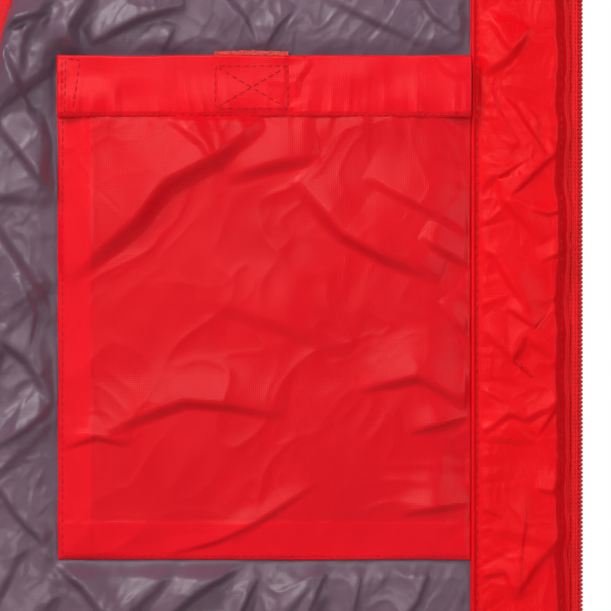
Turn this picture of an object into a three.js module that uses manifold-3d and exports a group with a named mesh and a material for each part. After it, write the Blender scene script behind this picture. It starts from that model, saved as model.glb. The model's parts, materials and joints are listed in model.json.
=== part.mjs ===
// A padded ski jacket hanging by the loop in its neck. The left front is folded wide open, so that
// its lined inside and inner pocket show; the right front is closed, the sleeves hang at the sides
// and the hood is up. Millimetres, +Z up, +X is the wearer's left and -Y the front.
// The origin is the top of the hanger loop.
import * as THREE from "three";
import { mergeVertices } from "three/addons/utils/BufferGeometryUtils.js";
import Module from "manifold-3d";

const wasm = await Module();
wasm.setup();

const V = (x, y, z) => new THREE.Vector3(x, y, z);
const rad = THREE.MathUtils.degToRad;
const mix = THREE.MathUtils.lerp;

// ---- Driving dimensions ----

// Each front is a flat panel in the plane of these three points. It folds about the straight line
// from the side of the hem to the side of the neck.
const ZIP_BOTTOM = V(0, -135, 0);
const CREASE_BOTTOM = V(265, -45, 0);
const CREASE_TOP = V(98, -35, 700);
const LEFT_FRONT_OPEN = rad(140);
const RIGHT_FRONT_OPEN = 0;

const FRONT_NECK = 633; // up the zip, from the hem to the neckline
const COLLAR_HEIGHT = 75;
const BODY_HEIGHT = 700; // from the hem to the neck seam
const COLLAR_RISE = 70; // height of the collar round the back of the neck

const SHELL = 1.2;
const WADDING = 8.5;
const LINING = 1;
const GAP = 0.4;
const CREASE_CLEARANCE = 1.2; // between a folding front and the body beside it
const POCKET_PLY = 1.4; // the two plies of a flat hand pocket bag

const CHAIN_GAP = 0.6; // from the centre line to a closed zip coil
const COIL_WIDTH = 3;
const COIL_HEIGHT = 2.5;
const TAPE_THICKNESS = 0.7;
const TAPE_SETBACK = 1.4; // from the chain's edge to the tape's edge under it
const TAPE_HIDDEN_WIDTH = 12; // the tape's width under the facing
const ZIP_SHOWS = 6; // coil and tape that show past the fabric edge
const FACING_WIDTH = 35;
const ZIP_PIN_LENGTH = 16;
const ZIP_BOX_HEIGHT = 4.5; // below the hem line
const ZIP_PARK_CLEARANCE = 1; // round the slider in its lowest place

const INNER_POCKET_WIDTH = 148;
const INNER_POCKET_HEIGHT = 181;
const INNER_POCKET_BOTTOM = 77; // above the hem
const INNER_POCKET_HEM = 22;
const POCKET_CLOTH = 0.9;
const POCKET_SEAM = 2.5; // width of the seam where the pocket meets the lining
const HOOK_TAPE = { width: 27, height: 22, thickness: 1.2, fromChain: 120, rise: 1.8 };

const HAND_POCKET = { length: 160, fromZip: 142, aboveHem: 190, lean: rad(18) };
const WELT_WIDTH = 20;
const WELT_HEIGHT = 1.6;
const POCKET_CHAIN_HEIGHT = 2;

const ARMHOLE_TOP = V(222, 0, 655);
const ARMHOLE_BOTTOM = V(250, 0, 472);
const ARMHOLE_RADIUS = 130; // the armhole seam is an arc of this radius, seen from the front
const ARMHOLE_CLEARANCE = 1;
const SLEEVE_WADDING = 7.5;
const SLEEVE_CENTRE_Y = 10;

const HOOD_PIVOT = V(0, -20, 706);
const HOOD_THICKNESS = 6;
const BRIM_THICKNESS = 3;

const LOOP = { width: 52, height: 17, strap: 5, thickness: 1.5, clearance: 5 };

// ---- Materials ----

const RED = 0xe3182d;
const cloth = (color, roughness) => new THREE.MeshStandardMaterial({ color, roughness, metalness: 0 });
const shellCloth = cloth(RED, 0.45);
const liningCloth = cloth(0x775d6f, 0.38);
const waddingFibre = cloth(0xeeeeea, 0.95);
const tapeWeave = cloth(0xd8141f, 0.7);
const hookNylon = cloth(0xd92a26, 0.8);
const ribKnit = cloth(0x5c4857, 0.9);
const coilNylon = new THREE.MeshStandardMaterial({ color: 0xcf1520, roughness: 0.4, metalness: 0 });
const sliderMetal = new THREE.MeshStandardMaterial({ color: 0xb9141c, roughness: 0.35, metalness: 0.4 });

// ---- Solids ----

function named(name, geometry, material) {
  const mesh = new THREE.Mesh(geometry, material);
  mesh.name = name;
  return mesh;
}

function bare(geometry) {
  const copy = geometry.clone();
  copy.deleteAttribute("normal");
  copy.deleteAttribute("uv");
  return mergeVertices(copy, 1e-3);
}

function signedVolume(geometry) {
  const p = geometry.getAttribute("position");
  const index = geometry.index.array;
  const [a, b, c] = [V(), V(), V()];
  let sum = 0;
  for (let i = 0; i < index.length; i += 3) {
    a.fromBufferAttribute(p, index[i]);
    b.fromBufferAttribute(p, index[i + 1]);
    c.fromBufferAttribute(p, index[i + 2]);
    sum += a.dot(b.cross(c));
  }
  return sum;
}

// Merges shared vertices, and turns the faces round if the mapping left them pointing inwards.
function closed(geometry) {
  const merged = bare(geometry);
  if (signedVolume(merged) < 0) {
    merged.index.array.reverse();
  }
  return merged;
}

function manifold(geometry) {
  const merged = closed(geometry);
  const vertProperties = merged.getAttribute("position").array;
  const triVerts = new Uint32Array(merged.index.array);
  return new wasm.Manifold(new wasm.Mesh({ numProp: 3, vertProperties, triVerts }));
}

function geometryOf(solid) {
  const mesh = solid.getMesh();
  const geometry = new THREE.BufferGeometry();
  geometry.setAttribute("position", new THREE.BufferAttribute(mesh.vertProperties, mesh.numProp));
  geometry.setIndex(new THREE.BufferAttribute(mesh.triVerts, 1));
  return geometry;
}

const join = (...parts) => geometryOf(parts.map(manifold).reduce((a, b) => a.add(b)));
const cut = (body, tool) => geometryOf(manifold(body).subtract(manifold(tool)));

// Splits a run of quads along their other diagonals, so that the two faces of a layer of cloth are
// split alike and keep its thickness where they twist.
function turnDiagonals(index, start, count) {
  for (let i = start; i < start + count; i += 6) {
    const [a, b, d] = index.slice(i, i + 3);
    const c = index[i + 3] === b ? index[i + 4] : index[i + 3];
    index.set([a, b, c, a, c, d], i);
  }
}

// A box of nu by nv by 1 cells whose corners go where place(u, v, w) says, each 0 to 1.
function warpedBox(nu, nv, place) {
  const geometry = new THREE.BoxGeometry(1, 1, 1, nu, nv, 1);
  const lastFace = geometry.groups[5];
  turnDiagonals(geometry.index.array, lastFace.start, lastFace.count);
  const p = geometry.getAttribute("position");
  for (let i = 0; i < p.count; i++) {
    const to = place(p.getX(i) + 0.5, p.getY(i) + 0.5, p.getZ(i) + 0.5);
    p.setXYZ(i, to.x, to.y, to.z);
  }
  return closed(geometry);
}

// A tube wall: place(angle, v, w) with v along the tube and w from its outer to its inner surface.
function warpedTube(nAngle, nv, place) {
  const wall = [];
  for (let i = 0; i <= nv; i++) wall.push(new THREE.Vector2(2, i / nv));
  for (let i = nv; i >= 0; i--) wall.push(new THREE.Vector2(1, i / nv));
  wall.push(wall[0].clone());
  const geometry = new THREE.LatheGeometry(wall, nAngle);
  const quads = wall.length - 1;
  for (let i = 0; i < nAngle; i++) {
    turnDiagonals(geometry.index.array, 6 * (i * quads + nv + 1), 6 * nv);
  }
  const p = geometry.getAttribute("position");
  for (let i = 0; i < p.count; i++) {
    const angle = Math.atan2(p.getX(i), p.getZ(i));
    const w = 2 - Math.hypot(p.getX(i), p.getZ(i));
    const to = place(angle, p.getY(i), w);
    p.setXYZ(i, to.x, to.y, to.z);
  }
  return closed(geometry);
}

function block(x0, x1, y0, y1, z0, z1) {
  const box = new THREE.BoxGeometry(x1 - x0, y1 - y0, z1 - z0);
  return box.translate((x0 + x1) / 2, (y0 + y1) / 2, (z0 + z1) / 2);
}

function slab(shape, z0, z1) {
  return closed(
    new THREE.ExtrudeGeometry(shape, { depth: z1 - z0, bevelEnabled: false, curveSegments: 6 }).translate(0, 0, z0),
  );
}

function roundedShape(x0, x1, y0, y1, r) {
  const shape = new THREE.Shape();
  shape.absarc(x1 - r, y1 - r, r, 0, Math.PI / 2);
  shape.absarc(x0 + r, y1 - r, r, Math.PI / 2, Math.PI);
  shape.absarc(x0 + r, y0 + r, r, Math.PI, 1.5 * Math.PI);
  shape.absarc(x1 - r, y0 + r, r, 1.5 * Math.PI, 2 * Math.PI);
  return shape;
}

// A surface pushed inwards by depth along its normal; point(u, v) has u and v from 0 to 1.
function inward(point, u, v, depth) {
  const step = 1e-3;
  const [u0, u1] = [Math.max(u - step, 0), Math.min(u + step, 1)];
  const [v0, v1] = [Math.max(v - step, 0), Math.min(v + step, 1)];
  const alongU = point(u1, v).sub(point(u0, v));
  const alongV = point(u, v1).sub(point(u, v0));
  const outward = alongU.cross(alongV).normalize();
  return point(u, v).addScaledVector(outward, -depth);
}

// ---- The planes that the fronts lie in ----

const creaseAxis = CREASE_TOP.clone().sub(CREASE_BOTTOM).normalize();
const frontNormal = CREASE_BOTTOM.clone().sub(ZIP_BOTTOM).cross(CREASE_TOP.clone().sub(ZIP_BOTTOM)).normalize();
const upZip = frontNormal.clone().cross(V(1, 0, 0)).normalize();
const acrossFront = upZip.clone().cross(frontNormal);

// A front's own frame: x from the zip to the side, y up the zip, z out of its outer face.
const frontBasis = new THREE.Matrix4().makeBasis(acrossFront, upZip, frontNormal);

function inFront(point) {
  const d = point.clone().sub(ZIP_BOTTOM);
  return new THREE.Vector2(d.dot(acrossFront), d.dot(upZip));
}

const foldLow = inFront(CREASE_BOTTOM);
const foldHigh = inFront(CREASE_TOP);
const foldSlope = (foldHigh.x - foldLow.x) / (foldHigh.y - foldLow.y);
const foldAt = (up) => foldLow.x + foldSlope * (up - foldLow.y) - CREASE_CLEARANCE;
const hemAt = (across) => (foldLow.y / foldLow.x) * across;
const creaseAt = (z) => CREASE_BOTTOM.clone().addScaledVector(creaseAxis, (z - CREASE_BOTTOM.z) / creaseAxis.z);

function placedFront(panel, open) {
  panel.position.copy(ZIP_BOTTOM).sub(CREASE_BOTTOM);
  panel.quaternion.setFromRotationMatrix(frontBasis);
  const fold = new THREE.Group();
  fold.position.copy(CREASE_BOTTOM);
  fold.quaternion.setFromAxisAngle(creaseAxis, open);
  fold.add(panel);
  return fold;
}

// ---- Layers of a front, by height above its outer face ----

const shellFace = [-SHELL, 0];
const bagTop = -SHELL - GAP;
const waddingTop = bagTop - POCKET_PLY - GAP;
const waddingFace = [waddingTop - WADDING + POCKET_PLY + GAP, waddingTop];
const liningTop = waddingFace[0] - GAP;
const liningFace = [liningTop - LINING, liningTop];
const FRONT_THICKNESS = -liningFace[0];

const tapeTop = -SHELL - COIL_HEIGHT - 2;
const tapeFace = [tapeTop - TAPE_THICKNESS, tapeTop];
const coilFace = [tapeTop + GAP, tapeTop + GAP + COIL_HEIGHT];
const zipTop = FRONT_NECK + COLLAR_HEIGHT - 4;

// The fronts meet at an angle, so a chain that lies below the outer face starts further across.
const chainEdge = (CHAIN_GAP - coilFace[0] * frontNormal.x) / acrossFront.x;
const chainSpan = [chainEdge, chainEdge + COIL_WIDTH];
const zipEdge = chainEdge + ZIP_SHOWS;
const facingEdge = zipEdge + FACING_WIDTH;

const neckCurve = { x: 45, y: FRONT_NECK + 3 };

function frontShape(edge, above = 0) {
  const shape = new THREE.Shape();
  shape.moveTo(edge, hemAt(edge) + above);
  shape.lineTo(foldAt(foldLow.y), foldLow.y + above);
  shape.lineTo(foldAt(foldHigh.y), foldHigh.y);
  shape.quadraticCurveTo(Math.max(neckCurve.x, edge), neckCurve.y, edge, FRONT_NECK + 0.1 * (edge - zipEdge));
  return shape;
}

function facingShape() {
  const shape = new THREE.Shape();
  shape.moveTo(zipEdge, hemAt(zipEdge));
  shape.lineTo(facingEdge, hemAt(facingEdge));
  shape.lineTo(facingEdge, FRONT_NECK);
  shape.lineTo(zipEdge, FRONT_NECK);
  return shape;
}

function collarFrontShape() {
  const base = FRONT_NECK + 1;
  const topAtFold = foldHigh.y + COLLAR_RISE;
  const shape = new THREE.Shape();
  shape.moveTo(zipEdge, base);
  shape.quadraticCurveTo(neckCurve.x, neckCurve.y + 1, foldAt(foldHigh.y) - 1, foldHigh.y + 1);
  shape.lineTo(foldAt(topAtFold), topAtFold);
  shape.quadraticCurveTo(neckCurve.x, base + COLLAR_HEIGHT + 6, zipEdge, base + COLLAR_HEIGHT);
  return shape;
}

// ---- Zip hardware ----

const SLIDER = { length: 13, width: 9.6, wing: 1.2, bridge: 0.6, bridgeLength: 4 };
const SLIDER_CLEARANCE = 0.4; // between its wings and the chain
const BAIL = { length: 6.4, width: 1.4, bar: 1, rise: 2.6 };
const PULL = { width: 6.4, length: 30, thickness: 1.1, arm: 1.2, window: 7 };

// The slider parks on the right half, above the box; the left half's chain starts above it.
const parkedSlider = ZIP_PARK_CLEARANCE + SLIDER.length / 2;
const leftChainLow = parkedSlider + SLIDER.length / 2 + ZIP_PARK_CLEARANCE;

function bailShape(base) {
  const half = BAIL.length / 2;
  const shape = new THREE.Shape();
  shape.moveTo(-half, base - 0.2);
  shape.lineTo(half, base - 0.2);
  shape.lineTo(half, base + BAIL.rise);
  shape.lineTo(-half, base + BAIL.rise);
  const window = new THREE.Path();
  window.moveTo(-half + BAIL.bar, base);
  window.lineTo(-half + BAIL.bar, base + BAIL.rise - BAIL.bar);
  window.lineTo(half - BAIL.bar, base + BAIL.rise - BAIL.bar);
  window.lineTo(half - BAIL.bar, base);
  shape.holes.push(window);
  return shape;
}

// The arch that a pull hangs on, standing on a wing whose top is at base, along the zip.
function bail(base) {
  const arch = new THREE.ExtrudeGeometry(bailShape(base), { depth: BAIL.width, bevelEnabled: false });
  return arch.translate(0, 0, -BAIL.width / 2).applyMatrix4(
    new THREE.Matrix4().makeBasis(V(0, 1, 0), V(0, 0, 1), V(1, 0, 0)),
  );
}

function wing(z0, z1) {
  const half = SLIDER.width / 2;
  return slab(roundedShape(-half, half, -SLIDER.length / 2, SLIDER.length / 2, 2.4), z0, z1);
}

// A pull whose cross bar lies in the bail's window; it hangs down the zip.
function pullGeometry(barHeight) {
  const half = PULL.width / 2;
  const bottom = -PULL.length;
  const shape = roundedShape(-half, half, bottom, PULL.thickness / 2, 1.5);
  const window = new THREE.Path();
  const inner = half - PULL.arm;
  const top = -PULL.thickness / 2;
  window.moveTo(-inner, top);
  window.lineTo(inner, top);
  window.lineTo(inner, top - PULL.window);
  window.lineTo(-inner, top - PULL.window);
  shape.holes.push(window);
  return slab(shape, barHeight - PULL.thickness / 2, barHeight + PULL.thickness / 2);
}

const barAbove = (base) => base + (BAIL.rise - BAIL.bar) / 2;

// ---- One front, without its pocket slider ----

function frontPanel(side) {
  const panel = new THREE.Group();
  const name = (part) => `${side}_${part}`;
  const add = (part, geometry, material) => panel.add(named(name(part), geometry, material));
  const tapeInner = zipEdge + TAPE_HIDDEN_WIDTH;
  add("front_shell", slab(frontShape(zipEdge), ...shellFace), shellCloth);
  add("front_wadding", slab(frontShape(tapeInner + 2, 4), ...waddingFace), waddingFibre);
  add("front_lining", slab(frontShape(facingEdge + GAP), ...liningFace), liningCloth);
  add("front_facing", slab(facingShape(), ...liningFace), shellCloth);
  const chainLow = side === "left" ? leftChainLow : 0;
  const coilLow = chainLow + ZIP_PIN_LENGTH + GAP;
  add("zip_tape", block(chainEdge + TAPE_SETBACK, tapeInner, chainLow, zipTop, ...tapeFace), tapeWeave);
  add("zip_coil", block(...chainSpan, coilLow, zipTop, ...coilFace), coilNylon);
  const collarFace = [liningFace[0], 0];
  const zipGroove = block(0, tapeInner + 1, 0, zipTop + 1, tapeFace[0] - GAP, -SHELL);
  add("collar_front", cut(slab(collarFrontShape(), ...collarFace), zipGroove), shellCloth);
  panel.add(handPocket(side));
  return panel;
}

// A slanted hand pocket: raised welt, closed zip, and the flat bag behind the shell.
function handPocket(side) {
  const pocket = new THREE.Group();
  pocket.position.set(HAND_POCKET.fromZip, HAND_POCKET.aboveHem, 0);
  pocket.rotation.z = HAND_POCKET.lean;
  const half = HAND_POCKET.length / 2;
  const border = 6;
  const frame = roundedShape(-WELT_WIDTH / 2, WELT_WIDTH / 2, -half - border, half + border, 3);
  const slot = new THREE.Path(roundedShape(-5.5, 5.5, -half, half, 1).getPoints(4).reverse());
  frame.holes.push(slot);
  pocket.add(named(`${side}_pocket_welt`, slab(frame, GAP, GAP + WELT_HEIGHT), shellCloth));
  const tape = block(-5.1, 5.1, -half + 0.5, half - 0.5, GAP, GAP + TAPE_THICKNESS);
  const chain = block(-COIL_WIDTH, COIL_WIDTH, -half + 0.5, half - 0.5, GAP, GAP + POCKET_CHAIN_HEIGHT);
  pocket.add(named(`${side}_pocket_zip`, join(tape, chain), coilNylon));
  const bag = roundedShape(-110, 6, -75, half + 2, 12);
  pocket.add(named(`${side}_pocket_bag`, slab(bag, bagTop - POCKET_PLY, bagTop), liningCloth));
  const base = GAP + POCKET_CHAIN_HEIGHT + SLIDER_CLEARANCE;
  const slider = join(
    wing(base, base + SLIDER.wing).translate(0, half - 12, 0),
    bail(base + SLIDER.wing).translate(0, half - 12, 0),
  );
  pocket.add(named(`${side}_pocket_slider`, slider, sliderMetal));
  const pull = pullGeometry(barAbove(base + SLIDER.wing)).translate(0, half - 12, 0);
  pocket.add(named(`${side}_pocket_pull`, pull, sliderMetal));
  return pocket;
}

// ---- The inner pocket, on the left lining ----

// Its panel is a shallow tray, open at the top and closed behind by the lining. The hem above it is
// a double ply that carries the hook tape, and folds outwards along its stitch line.
function innerPocket() {
  const pocket = new THREE.Group();
  const near = facingEdge + 0.5;
  const far = near + INNER_POCKET_WIDTH;
  const bottom = INNER_POCKET_BOTTOM;
  const top = bottom + INNER_POCKET_HEIGHT;
  const stitchLine = top - INNER_POCKET_HEM;
  const loopTop = liningFace[0] - GAP;
  const hookTop = loopTop - HOOK_TAPE.thickness - GAP;
  const clothTop = hookTop - HOOK_TAPE.thickness - GAP;
  const tapeNear = chainEdge + HOOK_TAPE.fromChain - HOOK_TAPE.width / 2;
  const tapeHigh = top + HOOK_TAPE.rise;
  const tapeSpan = [tapeNear, tapeNear + HOOK_TAPE.width, tapeHigh - HOOK_TAPE.height, tapeHigh];
  const loopTape = block(...tapeSpan, loopTop - HOOK_TAPE.thickness, loopTop);
  const hookTape = block(...tapeSpan, hookTop - HOOK_TAPE.thickness, hookTop);
  pocket.add(named("inner_pocket_loop_tape", loopTape, hookNylon));
  pocket.add(named("inner_pocket_hook_tape", hookTape, hookNylon));
  const outside = block(near, far, bottom, stitchLine, clothTop - POCKET_CLOTH, loopTop);
  const wall = POCKET_SEAM;
  const inside = block(near + wall, far - wall, bottom + wall, stitchLine + 1, clothTop, loopTop + 1);
  pocket.add(named("inner_pocket_panel", cut(outside, inside), shellCloth));
  const hem = block(near, far, stitchLine + GAP, top, clothTop - 2 * POCKET_CLOTH, clothTop);
  pocket.add(named("inner_pocket_hem", hem, shellCloth));
  return pocket;
}

// ---- The main zip's pin, box, slider and pull ----

function zipPin() {
  const high = leftChainLow + ZIP_PIN_LENGTH;
  const pin = block(...chainSpan, leftChainLow, high, ...coilFace);
  return named("left_zip_pin", pin, coilNylon);
}

function zipBox() {
  const beside = block(...chainSpan, -1, ZIP_PIN_LENGTH, ...coilFace);
  const floor = block(-COIL_WIDTH, chainSpan[1], -ZIP_BOX_HEIGHT, 0, ...coilFace);
  return named("right_zip_box", join(beside, floor), coilNylon);
}

// Half of a slider wing, in the plane of a front: it meets its mirror image over the centre line.
function wingHalf([z0, z1]) {
  const meet = (-z1 * frontNormal.x) / acrossFront.x - 0.3;
  const length = SLIDER.length / 2;
  const half = roundedShape(meet, chainEdge + SLIDER.width / 2, -length, length, 1.2);
  return slab(half, z0, z1);
}

// The slider that joins the two fronts. Its wings follow both planes, on either side of the centre.
function mainSlider() {
  const outer = [coilFace[1] + SLIDER_CLEARANCE, coilFace[1] + SLIDER_CLEARANCE + SLIDER.wing];
  const inner = [tapeFace[0] - SLIDER_CLEARANCE - SLIDER.wing, tapeFace[0] - SLIDER_CLEARANCE];
  const wings = [];
  for (const face of [outer, inner]) {
    const half = wingHalf(face).applyMatrix4(frontBasis);
    wings.push(half, half.clone().scale(-1, 1, 1));
  }
  const atCentre = (z) => z / acrossFront.x;
  const low = SLIDER.length / 2 - SLIDER.bridgeLength;
  const halfBridge = SLIDER.bridge / 2;
  const bridge = block(-halfBridge, halfBridge, low, SLIDER.length / 2, atCentre(inner[1]) - 0.5, atCentre(outer[0]) + 0.5);
  const top = atCentre(outer[1]);
  const centreOut = V(1, 0, 0).cross(upZip);
  const centre = new THREE.Matrix4().makeBasis(V(1, 0, 0), upZip, centreOut);
  const body = join(...wings, bridge.applyMatrix4(centre), bail(top).applyMatrix4(centre));
  const group = new THREE.Group();
  group.position.copy(ZIP_BOTTOM).addScaledVector(upZip, parkedSlider);
  group.add(named("zip_slider", body, sliderMetal));
  group.add(named("zip_pull", pullGeometry(barAbove(top)).applyMatrix4(centre), sliderMetal));
  return group;
}

// ---- The fixed body: sides and back ----

// Half width, depth of the back, and height of the body's cross-sections, from hem to neck.
const BODY_PROFILE = new THREE.CatmullRomCurve3([
  V(272, 72, 0),
  V(266, 80, 160),
  V(258, 86, 320),
  V(250, 88, 470),
  V(240, 84, 570),
  V(226, 76, 632),
  V(190, 68, 668),
  V(142, 61, 690),
  V(102, 55, 700),
]);
const COLLAR_PROFILE = new THREE.CatmullRomCurve3([V(102, 55, 701.5), V(94, 50, 735), V(88, 44, 700 + COLLAR_RISE)]);

// A cross-section pushed inwards by depth: q runs from 0 to 1 from the crease to the side, and on
// to 2 at the centre back.
function outline(profile, v, depth) {
  const at = profile.getPoint(v);
  const slope = profile.getTangent(v);
  const crease = creaseAt(at.z).addScaledVector(frontNormal, -depth);
  const side = V(at.x, 0, at.z).addScaledVector(V(slope.z, 0, -slope.x).normalize(), -depth);
  const back = V(0, at.y, at.z).addScaledVector(V(0, slope.z, -slope.y).normalize(), -depth);
  const reach = 0.45 * crease.distanceTo(side);
  const leave = crease.clone().addScaledVector(V(acrossFront.x, acrossFront.y, 0), reach);
  const round = side.clone().add(V(0, -0.6 * reach, 0));
  const front = new THREE.CubicBezierCurve3(crease, leave, round, side);
  const turn = side.clone().add(V(0, 0.55 * back.y, 0));
  const flat = back.clone().add(V(0.7 * side.x, 0, 0));
  const rear = new THREE.CubicBezierCurve3(side, turn, flat, back);
  return (q) => (q <= 1 ? front.getPoint(q) : rear.getPoint(q - 1));
}

const SEAM = 0.004; // share of a cross-section left open at each side seam

function sidePoint(profile) {
  return (u, v, depth) => {
    const section = outline(profile, v, depth);
    const clearance = CREASE_CLEARANCE / section(0).distanceTo(section(1));
    return section(mix(clearance, 1 - SEAM, u));
  };
}

function backPoint(profile, from) {
  return (u, v, depth) => {
    const q = mix(from, 4 - from, u);
    const at = outline(profile, v, depth)(q <= 2 ? q : 4 - q);
    return q <= 2 ? at : at.setX(-at.x);
  };
}

// Each layer of cloth with the depths it lies between.
const bodyLayers = [
  ["shell", 0, SHELL, shellCloth],
  ["wadding", SHELL + GAP, FRONT_THICKNESS - LINING - GAP, waddingFibre],
  ["lining", FRONT_THICKNESS - LINING, FRONT_THICKNESS, liningCloth],
];

const armholeMiddle = ARMHOLE_TOP.clone().add(ARMHOLE_BOTTOM).multiplyScalar(0.5);
const armholeHalf = ARMHOLE_TOP.distanceTo(ARMHOLE_BOTTOM) / 2;
const downArmhole = ARMHOLE_BOTTOM.clone().sub(ARMHOLE_TOP).normalize();
const outOfArmhole = V(-downArmhole.z, 0, downArmhole.x);
const armholeSet = Math.sqrt(ARMHOLE_RADIUS ** 2 - armholeHalf ** 2);
const shoulderPivot = armholeMiddle.clone().addScaledVector(outOfArmhole, armholeSet);

function armholeCutter(mirrored) {
  const radius = ARMHOLE_RADIUS + ARMHOLE_CLEARANCE;
  const disc = new THREE.CylinderGeometry(radius, radius, 400, 40);
  const x = mirrored ? -shoulderPivot.x : shoulderPivot.x;
  return disc.translate(x, 0, shoulderPivot.z);
}

// A layer of cloth between two depths below a surface point(u, v, depth).
function layerSolid(point, nu, nv, outer, inner) {
  return warpedBox(nu, nv, (u, v, w) => point(u, v, mix(outer, inner, w)));
}

function bodySides() {
  const group = new THREE.Group();
  for (const side of ["left", "right"]) {
    const half = new THREE.Group();
    half.scale.x = side === "left" ? 1 : -1;
    for (const [layer, outer, inner, material] of bodyLayers) {
      const panel = layerSolid(sidePoint(BODY_PROFILE), 4, 10, outer, inner);
      half.add(named(`${side}_side_${layer}`, cut(panel, armholeCutter(false)), material));
    }
    group.add(half);
  }
  return group;
}

function bodyBack() {
  const group = new THREE.Group();
  for (const [layer, outer, inner, material] of bodyLayers) {
    const panel = layerSolid(backPoint(BODY_PROFILE, 1 + SEAM), 14, 10, outer, inner);
    const open = cut(cut(panel, armholeCutter(false)), armholeCutter(true));
    group.add(named(`back_${layer}`, open, material));
  }
  return group;
}

function collarBack() {
  const group = new THREE.Group();
  const start = CREASE_CLEARANCE / CREASE_TOP.distanceTo(V(102, 0, 700));
  const point = backPoint(COLLAR_PROFILE, start);
  const shellInner = FRONT_THICKNESS - LINING - GAP;
  group.add(named("collar_back", layerSolid(point, 18, 2, 0, shellInner), shellCloth));
  group.add(named("collar_back_lining", layerSolid(point, 18, 2, shellInner + GAP, FRONT_THICKNESS), liningCloth));
  return group;
}

// The loop stands just inside the back of the neck.
const loopCentre = V(0, COLLAR_PROFILE.getPoint(0).y - FRONT_THICKNESS - LOOP.clearance, BODY_HEIGHT + 2);

function hangerLoop() {
  const { width, height, strap, thickness } = LOOP;
  const shape = new THREE.Shape();
  shape.absellipse(0, 0, width / 2, height, 0, Math.PI, false, 0);
  shape.absellipse(0, 0, width / 2 - strap, height - strap, Math.PI, 0, true, 0);
  const loop = new THREE.ExtrudeGeometry(shape, { depth: thickness, bevelEnabled: false, curveSegments: 12 });
  loop.rotateX(Math.PI / 2).translate(loopCentre.x, loopCentre.y, loopCentre.z);
  return named("hanger_loop", closed(loop), shellCloth);
}

// ---- Sleeves ----

// The left sleeve seen from the front: its outer and inner edges, from the armhole to the cuff.
const SLEEVE_OUTER = new THREE.CatmullRomCurve3([
  ARMHOLE_TOP,
  V(290, 0, 631),
  V(350, 0, 589),
  V(390, 0, 532),
  V(408, 0, 462),
  V(415, 0, 300),
  V(424, 0, 70),
]);
const SLEEVE_INNER = new THREE.CatmullRomCurve3([
  ARMHOLE_BOTTOM,
  V(255, 0, 467),
  V(260, 0, 460),
  V(265, 0, 449),
  V(271, 0, 430),
  V(292, 0, 270),
  V(322, 0, 66),
]);
// Half depth of the sleeve, front to back, at its ends and its elbow.
const SLEEVE_DEPTH = new THREE.CatmullRomCurve3([V(62, 0, 0), V(72, 0, 0.2), V(72, 0, 0.5), V(64, 0, 0.8), V(47, 0, 1)]);

// The end that meets the armhole lies on the arc of the armhole seam, so the sleeve can turn there.
function armholeRing(angle, depth) {
  const along = (armholeHalf - depth) * -Math.cos(angle);
  const radius = ARMHOLE_RADIUS - ARMHOLE_CLEARANCE;
  const sagitta = Math.sqrt(radius ** 2 - along ** 2) - armholeSet;
  return armholeMiddle.clone().addScaledVector(downArmhole, along).addScaledVector(outOfArmhole, -sagitta);
}

function sleeveRing(angle, v, depth) {
  const outer = SLEEVE_OUTER.getPoint(v);
  const inner = SLEEVE_INNER.getPoint(v);
  const centre = outer.clone().add(inner).multiplyScalar(0.5);
  const across = outer.clone().sub(centre);
  const half = across.length();
  return centre.addScaledVector(across.normalize(), (half - depth) * Math.cos(angle));
}

function sleevePoint(angle, v, depth) {
  const blend = Math.max(0, 1 - v / 0.17);
  const at = sleeveRing(angle, v, depth).lerp(armholeRing(angle, depth), blend);
  const deep = SLEEVE_DEPTH.getPoint(v).x - depth;
  at.y = SLEEVE_CENTRE_Y + deep * Math.sin(angle);
  return at;
}

const sleeveLayers = [
  ["shell", 0, SHELL, shellCloth],
  ["wadding", SHELL + GAP, SHELL + GAP + SLEEVE_WADDING, waddingFibre],
  ["lining", SHELL + 2 * GAP + SLEEVE_WADDING, SHELL + 2 * GAP + SLEEVE_WADDING + LINING, liningCloth],
];

const CUFF = { length: 22, tuck: 14, thickness: 3 };
const CUFF_TAB = { low: 0.97, high: 0.91, thickness: 1.6, step: rad(10), from: -7, to: 5, gap: 0.5 };
const CUFF_PATCH = { thickness: 1, from: -8, to: 1 };

function cuffGeometry() {
  const innermost = SHELL + 3 * GAP + SLEEVE_WADDING + LINING;
  const end = sleevePoint(0, 1, 0).add(sleevePoint(Math.PI, 1, 0)).multiplyScalar(0.5);
  const above = sleevePoint(0, 0.9, 0).add(sleevePoint(Math.PI, 0.9, 0)).multiplyScalar(0.5);
  const down = end.sub(above).normalize();
  return warpedTube(20, 2, (angle, v, w) => {
    const at = sleevePoint(angle, 1, innermost + w * CUFF.thickness);
    return at.addScaledVector(down, mix(-CUFF.tuck, CUFF.length, v));
  });
}

// A strip round the wrist, from one step of the angle to another and between two heights above it.
function cuffStrip(from, to, low, high) {
  return warpedBox(to - from, 1, (u, v, w) => {
    const angle = mix(from, to, u) * CUFF_TAB.step;
    return sleevePoint(angle, mix(CUFF_TAB.high, CUFF_TAB.low, v), -mix(low, high, w));
  });
}

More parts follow.
